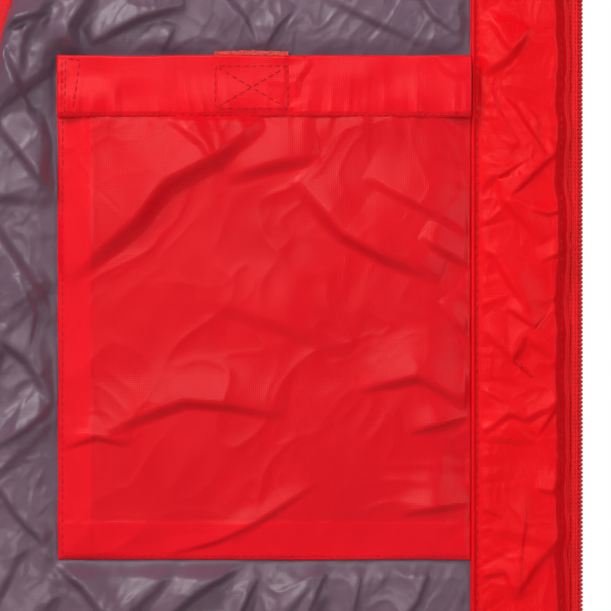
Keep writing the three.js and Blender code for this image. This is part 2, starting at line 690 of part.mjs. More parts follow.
function sleeve(side) {
  const group = new THREE.Group();
  group.scale.x = side === "left" ? 1 : -1;
  for (const [layer, outer, inner, material] of sleeveLayers) {
    const tube = warpedTube(20, 12, (angle, v, w) => sleevePoint(angle, v, mix(outer, inner, w)));
    group.add(named(`${side}_sleeve_${layer}`, tube, material));
  }
  group.add(named(`${side}_cuff`, cuffGeometry(), ribKnit));
  const patchTop = CUFF_TAB.gap + CUFF_PATCH.thickness;
  const patch = cuffStrip(CUFF_PATCH.from, CUFF_PATCH.to, CUFF_TAB.gap, patchTop);
  group.add(named(`${side}_cuff_loop_tape`, patch, hookNylon));
  const tabLow = patchTop + GAP;
  const tab = cuffStrip(CUFF_TAB.from, CUFF_TAB.to, tabLow, tabLow + CUFF_TAB.thickness);
  group.add(named(`${side}_cuff_tab`, tab, shellCloth));
  return group;
}

// ---- Hood ----

// Half width and height of the hood's arch, by how far it leans back: from the face opening
// to the neck seam behind.
const HOOD_ARCH = new THREE.CatmullRomCurve3([V(106, 232, -12), V(112, 250, 14), V(115, 232, 45), V(114, 170, 74), V(112, 98, 92)]);

function hoodPoint(u, v) {
  const arch = HOOD_ARCH.getPoint(v);
  const round = mix(rad(172), rad(8), u);
  const x = arch.x * Math.sign(Math.cos(round)) * Math.abs(Math.cos(round)) ** 0.8;
  const reach = arch.y * Math.sin(round) ** 0.72;
  const lean = rad(arch.z);
  return V(x, reach * Math.sin(lean), reach * Math.cos(lean)).add(HOOD_PIVOT);
}

function brimPoint(u, v) {
  const edge = hoodPoint(mix(0.8, 0.2, u), 0);
  const peak = Math.sin(Math.PI * u) ** 0.7;
  const forward = mix(0.4, mix(4, 34, peak), v);
  return edge.add(V(0, -0.96 * forward, -0.1 * forward));
}

function hood() {
  const group = new THREE.Group();
  const liningOuter = HOOD_THICKNESS + GAP;
  const arch = (u, v, depth) => inward(hoodPoint, u, v, depth);
  const brim = (u, v, depth) => inward(brimPoint, u, v, depth);
  group.add(named("hood_shell", layerSolid(arch, 16, 8, 0, HOOD_THICKNESS), shellCloth));
  group.add(named("hood_lining", layerSolid(arch, 16, 8, liningOuter, liningOuter + LINING), liningCloth));
  group.add(named("hood_brim", layerSolid(brim, 10, 2, 0, BRIM_THICKNESS), shellCloth));
  return group;
}

// ---- The whole jacket ----

function leftFront() {
  const panel = frontPanel("left");
  panel.add(zipPin());
  panel.add(innerPocket());
  return placedFront(panel, LEFT_FRONT_OPEN);
}

function rightFront() {
  const panel = frontPanel("right");
  panel.add(zipBox());
  const mirrored = new THREE.Group();
  mirrored.scale.x = -1;
  mirrored.add(placedFront(panel, RIGHT_FRONT_OPEN));
  return mirrored;
}

const body = new THREE.Group();
body.add(bodySides(), bodyBack(), collarBack(), hangerLoop());
body.add(leftFront(), rightFront(), mainSlider(), sleeve("left"), sleeve("right"), hood());
body.position.set(0, LOOP.thickness / 2 - loopCentre.y, -loopCentre.z - LOOP.height);

const jacket = new THREE.Group();
jacket.add(body);

export default jacket;
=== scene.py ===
"""The looks of a padded ski jacket, hanging with its left front folded open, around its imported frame."""
import json
import math

import bpy
import numpy as np
from mathutils import Matrix, Vector


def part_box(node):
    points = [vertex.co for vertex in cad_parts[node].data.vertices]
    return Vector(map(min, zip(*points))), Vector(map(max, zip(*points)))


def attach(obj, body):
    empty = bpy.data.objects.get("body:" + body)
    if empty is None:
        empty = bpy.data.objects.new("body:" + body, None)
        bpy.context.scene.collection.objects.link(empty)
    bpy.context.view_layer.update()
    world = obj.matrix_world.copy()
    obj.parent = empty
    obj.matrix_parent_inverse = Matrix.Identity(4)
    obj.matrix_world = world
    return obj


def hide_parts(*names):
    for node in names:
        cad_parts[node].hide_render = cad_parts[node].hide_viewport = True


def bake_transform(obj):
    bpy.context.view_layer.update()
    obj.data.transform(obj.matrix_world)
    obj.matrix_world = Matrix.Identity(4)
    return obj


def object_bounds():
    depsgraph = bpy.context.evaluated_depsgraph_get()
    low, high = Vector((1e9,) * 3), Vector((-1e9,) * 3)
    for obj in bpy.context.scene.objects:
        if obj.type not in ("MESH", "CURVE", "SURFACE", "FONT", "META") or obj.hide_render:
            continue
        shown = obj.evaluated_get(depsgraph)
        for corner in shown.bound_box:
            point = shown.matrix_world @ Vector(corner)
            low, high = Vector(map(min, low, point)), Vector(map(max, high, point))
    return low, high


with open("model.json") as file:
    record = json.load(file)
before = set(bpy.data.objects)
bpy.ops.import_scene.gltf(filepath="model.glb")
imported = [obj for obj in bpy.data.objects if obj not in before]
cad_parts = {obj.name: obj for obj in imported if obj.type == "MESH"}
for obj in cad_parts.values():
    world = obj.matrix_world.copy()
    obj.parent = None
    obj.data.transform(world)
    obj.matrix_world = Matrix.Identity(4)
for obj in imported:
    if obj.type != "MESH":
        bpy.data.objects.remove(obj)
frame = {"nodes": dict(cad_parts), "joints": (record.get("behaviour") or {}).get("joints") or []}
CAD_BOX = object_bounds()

MM = 0.001
JOINTS = {joint["name"]: joint for joint in frame["joints"]}


def unit(v):
    return np.asarray(v, float) / np.linalg.norm(v)


def unit_rows(vectors):
    return vectors / np.maximum(np.linalg.norm(vectors, axis=-1, keepdims=True), 1e-9)


def node_points(*names):
    """The vertices of some CAD nodes, in millimetres."""
    return np.concatenate([[v.co for v in frame["nodes"][n].data.vertices] for n in names]) / MM


# ---- Meshes ----

def signed_volume(points, faces):
    tris = np.concatenate([faces[:, [0, 1, 2]], faces[:, [0, 2, 3]]])
    a, b, c = (points[tris[:, i]] for i in range(3))
    return (a * np.cross(b, c)).sum() / 6


def make_object(name, points, faces, material, uv=None, ply=None):
    """A smooth mesh object from points in millimetres. uv is the cloth's flat plan in metres."""
    mesh = bpy.data.meshes.new(name)
    mesh.from_pydata((np.asarray(points) * MM).tolist(), [], np.asarray(faces).tolist())
    mesh.polygons.foreach_set("use_smooth", np.ones(len(mesh.polygons), bool))
    if uv is not None:
        loops = np.zeros(len(mesh.loops), int)
        mesh.loops.foreach_get("vertex_index", loops)
        layer = mesh.uv_layers.new(name="weave")
        layer.data.foreach_set("uv", np.asarray(uv, np.float32)[loops].ravel())
    if ply is not None:
        layer = mesh.attributes.new("ply", "FLOAT", "POINT")
        layer.data.foreach_set("value", np.asarray(ply, np.float32))
    mesh.materials.append(material)
    piece = bpy.data.objects.new(name, mesh)
    bpy.context.scene.collection.objects.link(piece)
    return piece


def surface_normals(grid, wrap=False):
    if wrap:
        along_u = np.roll(grid, -1, 0) - np.roll(grid, 1, 0)
    else:
        along_u = np.gradient(grid, axis=0)
    normal = np.cross(along_u, np.gradient(grid, axis=1))
    length = np.linalg.norm(normal, axis=2, keepdims=True)
    return normal / np.maximum(length, 1e-9)


def flat_plan(grid):
    """Distances along both directions of a grid of cloth, in metres, and the cloth's area."""
    du = np.linalg.norm(np.diff(grid, axis=0), axis=2).mean(1)
    dv = np.linalg.norm(np.diff(grid, axis=1), axis=2).mean(0)
    u = np.concatenate([[0], np.cumsum(du)])
    v = np.concatenate([[0], np.cumsum(dv)])
    a, b = grid[1:, :-1] - grid[:-1, :-1], grid[:-1, 1:] - grid[:-1, :-1]
    area = np.linalg.norm(np.cross(a, b), axis=2).sum()
    plan = np.stack(crossed(u, v), axis=2)
    return plan * MM, area * MM * MM


def quads(index, wrap=False):
    nxt = np.roll(index, -1, 0) if wrap else index[1:]
    own = index if wrap else index[:-1]
    cells = np.stack([own[:, :-1], nxt[:, :-1], nxt[:, 1:], own[:, 1:]], axis=2)
    return cells.reshape(-1, 4)


def layered(name, outer, inner, material, wrap=False, bulge=0.0, ply=None, plan=None, drop=None):
    """A closed layer of cloth or padding between two grids of points. bulge rounds its rim, and a
    cell whose four corners are all in drop is left out."""
    nu, nv = outer.shape[:2]
    count = nu * nv
    if plan is None:
        closed = np.concatenate([outer, outer[:1]]) if wrap else outer
        plan = flat_plan(closed)[0][:nu]
    high, low, plan = (grid.reshape(count, -1) for grid in (outer, inner, plan))
    cells = quads(np.arange(count).reshape(nu, nv), wrap)
    if drop is not None:
        cells = cells[~drop.ravel()[cells].all(1)]
    start, end = cells.ravel(), np.roll(cells, -1, axis=1).ravel()
    rim = ~np.isin(start * count + end, end * count + start)
    facing = np.cross(high[cells[:, 2]] - high[cells[:, 0]], high[cells[:, 3]] - high[cells[:, 1]])
    away = np.cross(high[end] - high[start], np.repeat(facing, 4, axis=0))[rim]
    start, end = start[rim], end[rim]
    points, flat = [high, low], [plan, plan]
    faces = [cells, cells[:, ::-1] + count]
    if bulge:
        sideways = np.zeros_like(high)
        np.add.at(sideways, start, away)
        np.add.at(sideways, end, away)
        points.append((high + low) / 2 + unit_rows(sideways) * bulge)
        flat.append(plan)
        strips = [(0, 2 * count), (2 * count, count)]
    else:
        strips = [(0, count)]
    for upper, lower in strips:
        faces.append(np.stack([end + upper, start + upper, start + lower, end + lower], axis=1))
    points, flat, faces = (np.concatenate(part) for part in (points, flat, faces))
    used, faces = np.unique(faces, return_inverse=True)
    faces = faces.reshape(-1, 4)
    points, flat = points[used], flat[used]
    if signed_volume(points - points.mean(0), faces) < 0:
        faces = faces[:, ::-1]
    tone = None if ply is None else np.tile(ply.ravel(), len(strips) + 1)[used]
    return make_object(name, points, faces, material, flat, tone)


def thin(name, grid, thickness, material):
    return layered(name, grid, grid - surface_normals(grid) * thickness, material)


def crossed(x, y):
    """Two rows of values as two grids, the first value along the rows."""
    return np.meshgrid(x, y, indexing="ij")


def metres(point):
    """A point in millimetres as a Blender vector in metres."""
    return Vector((np.asarray(point) * MM).tolist())


def tube(name, path, radius, material, sides=8, closed=False, squash=1.0, up=None):
    """A round or flattened tube along a path in millimetres."""
    path = np.asarray(path, float)
    if closed:
        ahead = np.roll(path, -1, 0) - np.roll(path, 1, 0)
    else:
        ahead = np.gradient(path, axis=0)
    ahead /= np.linalg.norm(ahead, axis=1, keepdims=True)
    hint = np.array([0.13, 0.21, 1.0]) if up is None else np.asarray(up, float)
    side = np.cross(ahead, hint)
    side /= np.linalg.norm(side, axis=1, keepdims=True)
    top = np.cross(side, ahead)
    turn = np.linspace(0, 2 * math.pi, sides, endpoint=False)
    radius = np.broadcast_to(radius, len(path))[:, None, None]
    ring = side[:, None] * np.cos(turn)[:, None] + squash * top[:, None] * np.sin(turn)[:, None]
    points = path[:, None] + radius * ring
    index = np.arange(len(path) * sides).reshape(len(path), sides)
    index = np.concatenate([index, index[:, :1]], axis=1)
    faces = quads(index, closed)
    points = points.reshape(-1, 3)
    uv = np.stack(crossed(np.arange(len(path)), np.arange(sides)), axis=2)
    uv = uv.reshape(-1, 2) * MM
    if not closed:
        caps = [path[0], path[-1]]
        start = len(points)
        points = np.concatenate([points, caps])
        uv = np.concatenate([uv, uv[:1], uv[-1:]])
        extra = []
        for end, centre in ((0, start), (-1, start + 1)):
            for k in range(0, sides, 2):
                extra.append([index[end, k], index[end, k + 1], index[end, (k + 2) % sides], centre])
        extra = np.array(extra)
        extra[: len(extra) // 2] = extra[: len(extra) // 2, ::-1]
        faces = np.concatenate([faces, extra])
    if signed_volume(points - points.mean(0), faces) < 0:
        faces = faces[:, ::-1]
    return make_object(name, points, faces, material, uv)


# A stitch's rings: the share of its length, then its width and lift in radii of the thread.
STITCH_RINGS = np.array([(0.0, 0.45, -0.7), (0.18, 0.95, 0.0), (0.5, 1.05, 0.35), (0.82, 0.95, 0.0),
                         (1.0, 0.45, -0.7)])


def stitches(name, lines, material, body, length=2.2, gap=0.8, radius=0.28):
    """Thread along lines, each a pair of arrays: points on the cloth, and the cloth's normals there."""
    points, faces = [], []
    sides = 6
    turn = np.linspace(0, 2 * math.pi, sides, endpoint=False)
    for line, normals in lines:
        run = np.concatenate([[0], np.cumsum(np.linalg.norm(np.diff(line, axis=0), axis=1))])
        count = max(1, int(run[-1] // (length + gap)))
        pitch = run[-1] / count
        for k in range(count):
            a, b = (np.array([np.interp(x, run, line[:, i]) for i in range(3)])
                    for x in (k * pitch, k * pitch + pitch * length / (length + gap)))
            n = unit([np.interp((k + 0.5) * pitch, run, normals[:, i]) for i in range(3)])
            side = unit(np.cross(b - a, n))
            start = sum(len(p) for p in points)
            for at, wide, lift in STITCH_RINGS:
                centre = a + (b - a) * at + n * radius * lift
                ring = side * np.cos(turn)[:, None] + n * np.sin(turn)[:, None]
                points.append(centre + ring * radius * wide)
            index = start + np.arange(len(STITCH_RINGS) * sides).reshape(-1, sides)
            faces.append(quads(np.concatenate([index, index[:, :1]], axis=1)))
            for end, sense in ((0, 1), (-1, -1)):
                ring = index[end][::sense]
                faces.append([[ring[0], ring[1], ring[2], ring[3]], [ring[0], ring[3], ring[4], ring[5]]])
    points = np.concatenate(points)
    piece = make_object(name, points, np.concatenate(faces), material, points[:, [0, 2]] * MM)
    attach(piece, body)
    return piece


# ---- Smooth noise, folds and puckers: heights in millimetres over a plan in millimetres ----

def smooth(x):
    x = np.clip(x, 0, 1)
    return x * x * (3 - 2 * x)


LATTICE = np.random.default_rng(7).uniform(-1, 1, (128, 128))


def noise(x, y, seed=0):
    """Smooth noise from -1 to 1 with features about one unit across."""
    x, y = np.asarray(x, float) + 17.3 * seed, np.asarray(y, float) + 9.1 * seed
    i, j = np.floor(x).astype(int), np.floor(y).astype(int)
    fx, fy = smooth(x - i), smooth(y - j)
    pick = lambda a, b: LATTICE[a % 128, b % 128]
    low = pick(i, j) * (1 - fx) + pick(i + 1, j) * fx
    high = pick(i, j + 1) * (1 - fx) + pick(i + 1, j + 1) * fx
    return low * (1 - fy) + high * fy


def creased(x, y, seed=0):
    """Noise with rounded valleys and narrow ridges, as crumpled cloth has, from 0 to 1."""
    bend_x = x + 0.6 * noise(x * 0.9, y * 0.9, seed + 5)
    bend_y = y + 0.6 * noise(x * 0.9, y * 0.9, seed + 8)
    first = 1 - np.abs(noise(bend_x, bend_y, seed))
    second = 1 - np.abs(noise(2.1 * bend_x, 2.1 * bend_y, seed + 2))
    return first ** 3 * 0.7 + second ** 3 * 0.3


def along_path(x, y, path):
    """Signed distance from a path and the share of the path passed, for points x, y."""
    path = np.asarray(path, float)
    steps = np.diff(path, axis=0)
    lengths = np.linalg.norm(steps, axis=1)
    passed = np.concatenate([[0], np.cumsum(lengths)]) / lengths.sum()
    best = np.full(np.shape(x), 1e9)
    signed, share = np.zeros(np.shape(x)), np.zeros(np.shape(x))
    for start, step, length, done, end in zip(path, steps, lengths, passed, passed[1:]):
        dx, dy = x - start[0], y - start[1]
        k = np.clip((dx * step[0] + dy * step[1]) / length ** 2, 0, 1)
        away = np.hypot(dx - k * step[0], dy - k * step[1])
        nearer = away < best
        best = np.where(nearer, away, best)
        signed = np.where(nearer, away * np.sign(step[0] * dy - step[1] * dx), signed)
        share = np.where(nearer, done + k * (end - done), share)
    return signed, share


FALL = unit((0.75, 1.0))  # the way folds face, across a front and up it


def fold(x, y, path, width, height, run=2.6):
    """A fold of cloth: it rises gently on one side of its path and drops steeply at the path."""
    signed, share = along_path(x, y, path)
    overall = np.asarray(path[-1], float) - path[0]
    if overall[0] * FALL[1] - overall[1] * FALL[0] < 0:
        signed = -signed
    drop = smooth(signed / width + 0.5)
    back = np.exp(-(np.maximum(signed, 0) / (run * width)) ** 2)
    return height * drop * back * np.sin(math.pi * np.clip(share, 0, 1)) ** 0.7


def folds(x, y, strokes):
    return sum(fold(x, y, path, width, height) for width, height, path in strokes)


def puckers(along, away, pitch, depth, reach, seed, skew=0.5):
    """Small gathers that run off a seam and die out away from it."""
    slant = along + skew * away * noise(along / 40, 0 * along, seed + 3)
    wave = noise(slant / pitch, away / (6 * pitch), seed) + 0.5 * noise(2 * slant / pitch, 0 * away, seed + 1)
    return depth * wave * np.exp(-np.abs(away) / reach)


def random_folds(count, x0, x1, y0, y1, seed, width, height, length, lean):
    """Strokes for folds() spread over a plan, leaning one way, with seeded places and sizes."""
    draw = np.random.default_rng(seed)
    strokes = []
    for _ in range(count):
        x, y = draw.uniform(x0, x1), draw.uniform(y0, y1)
        angle = lean + draw.uniform(-0.5, 0.5)
        reach = length * draw.uniform(0.6, 1.4)
        bend = draw.uniform(-0.25, 0.25) * reach
        tip = (x + reach * math.cos(angle), y + reach * math.sin(angle))
        mid = ((x + tip[0]) / 2 - bend * math.sin(angle), (y + tip[1]) / 2 + bend * math.cos(angle))
        strokes.append((width * draw.uniform(0.6, 1.5), height * draw.uniform(0.5, 1.3), [(x, y), mid, tip]))
    return strokes


# ---- Materials ----

def node(tree, kind, **values):
    made = tree.nodes.new(kind)
    for name, value in values.items():
        if name in made.inputs:
            made.inputs[name].default_value = value
        else:
            setattr(made, name, value)
    return made


def base_material(name, **shader):
    material = bpy.data.materials.new(name)
    material.use_nodes = True
    tree = material.node_tree
    bsdf = tree.nodes["Principled BSDF"]
    for socket, value in shader.items():
        bsdf.inputs[socket.replace("_", " ")].default_value = value
    return material, tree, bsdf


def mixed(tree, factor, low, high):
    mix = tree.nodes.new("ShaderNodeMix")
    mix.data_type = "RGBA"
    for socket, value in (("Factor", factor), ("A", low), ("B", high)):
        index = {"Factor": 0, "A": 6, "B": 7}[socket]
        if isinstance(value, bpy.types.NodeSocket):
            tree.links.new(value, mix.inputs[index])
        elif socket == "Factor":
            mix.inputs[index].default_value = value
        else:
            mix.inputs[index].default_value = (*value, 1)
    return mix.outputs[2]


def math_node(tree, operation, a, b):
    made = tree.nodes.new("ShaderNodeMath")
    made.operation = operation
    for i, value in enumerate((a, b)):
        if isinstance(value, bpy.types.NodeSocket):
            tree.links.new(value, made.inputs[i])
        else:
            made.inputs[i].default_value = value
    return made.outputs[0]


def scaled(color, k):
    return tuple(min(1.0, c * k) for c in color)


def cloth(name, color, double=None, pitch=0.7, bump=0.25, mottle=0.1, patch=0.03, **shader):
    """Woven cloth: threads of two directions over its flat plan, with uneven dye and thread tone."""
    material, tree, bsdf = base_material(name, **shader)
    plan = node(tree, "ShaderNodeUVMap", uv_map="weave").outputs["UV"]
    place = node(tree, "ShaderNodeTexCoord").outputs["Object"]
    waves = []
    for direction in ("X", "Y"):
        wave = node(tree, "ShaderNodeTexWave", Scale=0.314159 / (pitch * MM))
        wave.bands_direction = direction
        wave.inputs["Distortion"].default_value = 1.2
        wave.inputs["Detail"].default_value = 1.0
        wave.inputs["Detail Scale"].default_value = 0.6
        tree.links.new(plan, wave.inputs["Vector"])
        waves.append(wave.outputs["Fac"])
    threads = math_node(tree, "MULTIPLY", waves[0], waves[1])
    uneven = node(tree, "ShaderNodeTexNoise", Scale=1 / patch, Detail=3.0)
    grain = node(tree, "ShaderNodeTexNoise", Scale=1400.0, Detail=2.0)
    tree.links.new(place, uneven.inputs["Vector"])
    tree.links.new(plan, grain.inputs["Vector"])
    tone = mixed(tree, uneven.outputs["Fac"], scaled(color, 1 - mottle), scaled(color, 1 + mottle))
    if double is not None:
        ply = node(tree, "ShaderNodeAttribute", attribute_name="ply").outputs["Fac"]
        strong = mixed(tree, uneven.outputs["Fac"], scaled(double, 1 - mottle), scaled(double, 1 + mottle))
        tone = mixed(tree, ply, tone, strong)
    speck = math_node(tree, "MULTIPLY", grain.outputs["Fac"], 0.22)
    shade = math_node(tree, "ADD", math_node(tree, "MULTIPLY", threads, 0.1), speck)
    dark = tree.nodes.new("ShaderNodeMix")
    dark.data_type, dark.blend_type = "RGBA", "MULTIPLY"
    tree.links.new(shade, dark.inputs[0])
    tree.links.new(tone, dark.inputs[6])
    dark.inputs[7].default_value = (0.6, 0.6, 0.6, 1)
    tree.links.new(dark.outputs[2], bsdf.inputs["Base Color"])
    height = math_node(tree, "ADD", threads, math_node(tree, "MULTIPLY", grain.outputs["Fac"], 0.6))
    relief = node(tree, "ShaderNodeBump", Strength=bump, Distance=0.0002)
    tree.links.new(height, relief.inputs["Height"])
    tree.links.new(relief.outputs["Normal"], bsdf.inputs["Normal"])
    return material


def fuzzy(name, color, **shader):
    """Hook-and-loop tape: a mat of fine fibres."""
    material, tree, bsdf = base_material(name, **shader)
    place = node(tree, "ShaderNodeTexCoord").outputs["Object"]
    fibres = node(tree, "ShaderNodeTexVoronoi", Scale=1800.0)
    grain = node(tree, "ShaderNodeTexNoise", Scale=900.0, Detail=4.0)
    tree.links.new(place, fibres.inputs["Vector"])
    tree.links.new(place, grain.inputs["Vector"])
    tone = mixed(tree, grain.outputs["Fac"], scaled(color, 0.6), scaled(color, 1.5))
    tree.links.new(tone, bsdf.inputs["Base Color"])
    relief = node(tree, "ShaderNodeBump", Strength=0.8, Distance=0.0006)
    tree.links.new(fibres.outputs["Distance"], relief.inputs["Height"])
    tree.links.new(relief.outputs["Normal"], bsdf.inputs["Normal"])
    return material


def moulded(name, color, wear, **shader):
    """Nylon or painted metal: faint mottling, and tone worn lighter in small patches."""
    material, tree, bsdf = base_material(name, **shader)
    place = node(tree, "ShaderNodeTexCoord").outputs["Object"]
    grain = node(tree, "ShaderNodeTexNoise", Scale=450.0, Detail=4.0)
    rough = node(tree, "ShaderNodeTexNoise", Scale=160.0, Detail=3.0)
    for texture in (grain, rough):
        tree.links.new(place, texture.inputs["Vector"])
    tone = mixed(tree, grain.outputs["Fac"], scaled(color, 0.8), scaled(color, 1.0 + wear))
    tree.links.new(tone, bsdf.inputs["Base Color"])
    spread = node(tree, "ShaderNodeMapRange")
    spread.inputs["To Min"].default_value = shader["Roughness"] - 0.08
    spread.inputs["To Max"].default_value = shader["Roughness"] + 0.12
    tree.links.new(rough.outputs["Fac"], spread.inputs["Value"])
    tree.links.new(spread.outputs["Result"], bsdf.inputs["Roughness"])
    relief = node(tree, "ShaderNodeBump", Strength=0.15, Distance=0.0002)
    tree.links.new(grain.outputs["Fac"], relief.inputs["Height"])
    tree.links.new(relief.outputs["Normal"], bsdf.inputs["Normal"])
    return material


RED_SINGLE = (0.75, 0.003, 0.012)
RED_DOUBLE = (0.87, 0.002, 0.013)
SHELL_CLOTH = cloth("red_nylon", RED_DOUBLE, RED_DOUBLE, Roughness=0.38, Specular_IOR_Level=0.2,
                    Sheen_Weight=0.04, Sheen_Roughness=0.4, Sheen_Tint=(1.0, 0.2, 0.25, 1))
POCKET_CLOTH = cloth("red_pocket_cloth", RED_SINGLE, RED_DOUBLE, bump=0.18, Roughness=0.3,
                     Specular_IOR_Level=0.15, Sheen_Weight=0.03, Sheen_Roughness=0.4,
                     Sheen_Tint=(1.0, 0.25, 0.3, 1))
FACING_CLOTH = cloth("red_facing_cloth", (0.86, 0.001, 0.007), pitch=0.6, Roughness=0.28,
                     Specular_IOR_Level=0.13, Sheen_Weight=0.02, Sheen_Roughness=0.4,
                     Sheen_Tint=(1.0, 0.2, 0.25, 1))
LINING_SATIN = cloth("mauve_satin", (0.15, 0.083, 0.124), pitch=0.5, bump=0.18, mottle=0.08, Roughness=0.36,
                     Specular_IOR_Level=0.45, Sheen_Weight=0.06, Sheen_Roughness=0.35)
TAPE_WEAVE = cloth("zip_tape_weave", (0.92, 0.002, 0.010), pitch=1.0, bump=0.35, mottle=0.1, Roughness=0.62,
                   Specular_IOR_Level=0.25)
RIB_KNIT = cloth("rib_knit", (0.10, 0.062, 0.09), pitch=0.9, bump=0.8, Roughness=0.85, Specular_IOR_Level=0.15,
                 Sheen_Weight=0.3, Sheen_Roughness=0.5)
THREAD = cloth("red_thread", (0.60, 0.002, 0.008), pitch=0.3, Roughness=0.5, Specular_IOR_Level=0.3)
HOOK_TAPE = fuzzy("hook_and_loop_fibres", (0.72, 0.08, 0.065), Roughness=0.85, Specular_IOR_Level=0.2)
COIL_NYLON = moulded("coil_nylon", (0.90, 0.006, 0.012), 0.25, Roughness=0.38, Specular_IOR_Level=0.5)
SLIDER_METAL = moulded("slider_painted_metal", (0.42, 0.012, 0.018), 0.4, Roughness=0.32, Metallic=0.5)


# ---- Attaching or baking pieces, and hiding the parts they replace ----

def soft(piece, body, nodes=(), plan=None, bend=None):
    if bend:
        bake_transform(piece)
    else:
        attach(piece, body)
    if nodes:
        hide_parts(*nodes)
    return piece


def firm(piece, body, slot, *nodes):
    """Rides a thread, cord or coil with its body."""
    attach(piece, body)
    if nodes:
        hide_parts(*nodes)


# ---- The planes that the fronts lie in ----

class Front:
    """A front's own frame in millimetres: c from the zip coil's edge to the side, t up the zip,
    and d from its outer face towards the lining."""

    def __init__(self, side):
        self.side = side
        if side == "left":
            self.across = -unit(JOINTS["inner_pocket_mouth"]["axis"])
            crease = unit(JOINTS["left_front_fold"]["axis"])
            self.out = unit(np.cross(self.across, crease))
            self.up = np.cross(self.out, self.across)
        else:
            self.up = unit(JOINTS["zip_slide"]["axis"])
            crease = -unit(JOINTS["right_front_fold"]["axis"])
            self.out = unit(np.cross(self.up, crease))
            if self.out[1] > 0:
                self.out = -self.out
            self.across = np.cross(self.out, self.up)
            if self.across[0] > 0:
                self.across = -self.across
        if self.up[2] < 0:
            self.up, self.out = -self.up, -self.out
        coil = node_points(f"{side}_zip_coil")
        shell = node_points(f"{side}_front_shell")
        chain = (coil @ self.across).min()
        face = (shell @ self.out).max()
        top = (coil @ self.up).max() - ZIP_TOP
        self.origin = self.across * chain + self.up * top + self.out * face
        plan = np.stack([shell @ self.across - chain, shell @ self.up - top], axis=1)
        self.crease_low = plan[plan[:, 0].argmax()]
        self.crease_high = plan[plan[:, 1].argmax()]
        self.edge = plan[:, 0].min()
        welt = node_points(f"{side}_pocket_welt")
        corners = self.local(welt)
        self.pocket_centre = (corners.min(0) + corners.max(0))[:2] / 2
        slide = np.array(JOINTS[f"{side}_pocket_slide"]["axis"]) * -1
        self.pocket_up = unit((slide @ self.across, slide @ self.up))
        along = (corners[:, :2] - self.pocket_centre) @ self.pocket_up
        self.pocket_half = along.max() - 6

    def local(self, points):
        """Points as c, t and d."""
        away = points - self.origin
        return np.stack([away @ self.across, away @ self.up, -(away @ self.out)], axis=-1)

    def hand_pocket(self, c, t):
        """Distances across and along the hand pocket."""
        x, y = c - self.pocket_centre[0], t - self.pocket_centre[1]
        up = self.pocket_up
        return x * up[1] - y * up[0], x * up[0] + y * up[1]

    def on_pocket(self, across, along, rise):
        up = self.pocket_up
        c = self.pocket_centre[0] + across * up[1] + along * up[0]
        t = self.pocket_centre[1] - across * up[0] + along * up[1]
        return self.at(c, t, -rise)

    def at(self, c, t, d):
        c, t, d = np.broadcast_arrays(c, t, d)
        return (self.origin + c[..., None] * self.across + t[..., None] * self.up
                - d[..., None] * self.out)

    def crease(self, t):
        k = (t - self.crease_low[1]) / (self.crease_high[1] - self.crease_low[1])
        return self.crease_low[0] + k * (self.crease_high[0] - self.crease_low[0])

    def hem(self, c):
        return self.crease_low[1] * (c + 2.4) / (self.crease_low[0] + 2.4)

    def plan(self, edge, u, v, rim=0.0):
        """The front's plan: u from the edge at c to the crease, v from the hem to the neck."""
        low = (1 - u) * edge + u * (self.crease_low[0] - rim)
        bottom = np.stack([low, self.hem(low) + rim], axis=-1)
        start = np.array([edge, NECK + 0.1 * (edge - self.edge) - rim])
        middle = np.array([max(NECK_CURVE[0], edge), NECK_CURVE[1] - rim])
        end = self.crease_high - np.array([rim, rim])
        w = u[..., None]
        top = start * (1 - w) ** 2 + 2 * middle * w * (1 - w) + end * w * w
        both = bottom * (1 - v[..., None]) + top * v[..., None]
        return both[..., 0], both[..., 1]


ZIP_TOP = 704.0
NECK = 633.0
NECK_CURVE = (43.0, 636.0)
THICKNESS = 11.5  # of a front, from the shell's face to the lining's
FACING_INNER = 41.2  # where the facing is sewn to the lining, from the coil's edge
LINING_FACE = 11.4

LEFT = Front("left")
RIGHT = Front("right")
FRONTS = {"left": LEFT, "right": RIGHT}

# ---- Camera, light and floor ----

VIEW_CENTRE = (100.6, 168.5)
VIEW_SIZE = 220.0
VIEW_DISTANCE = 1100.0


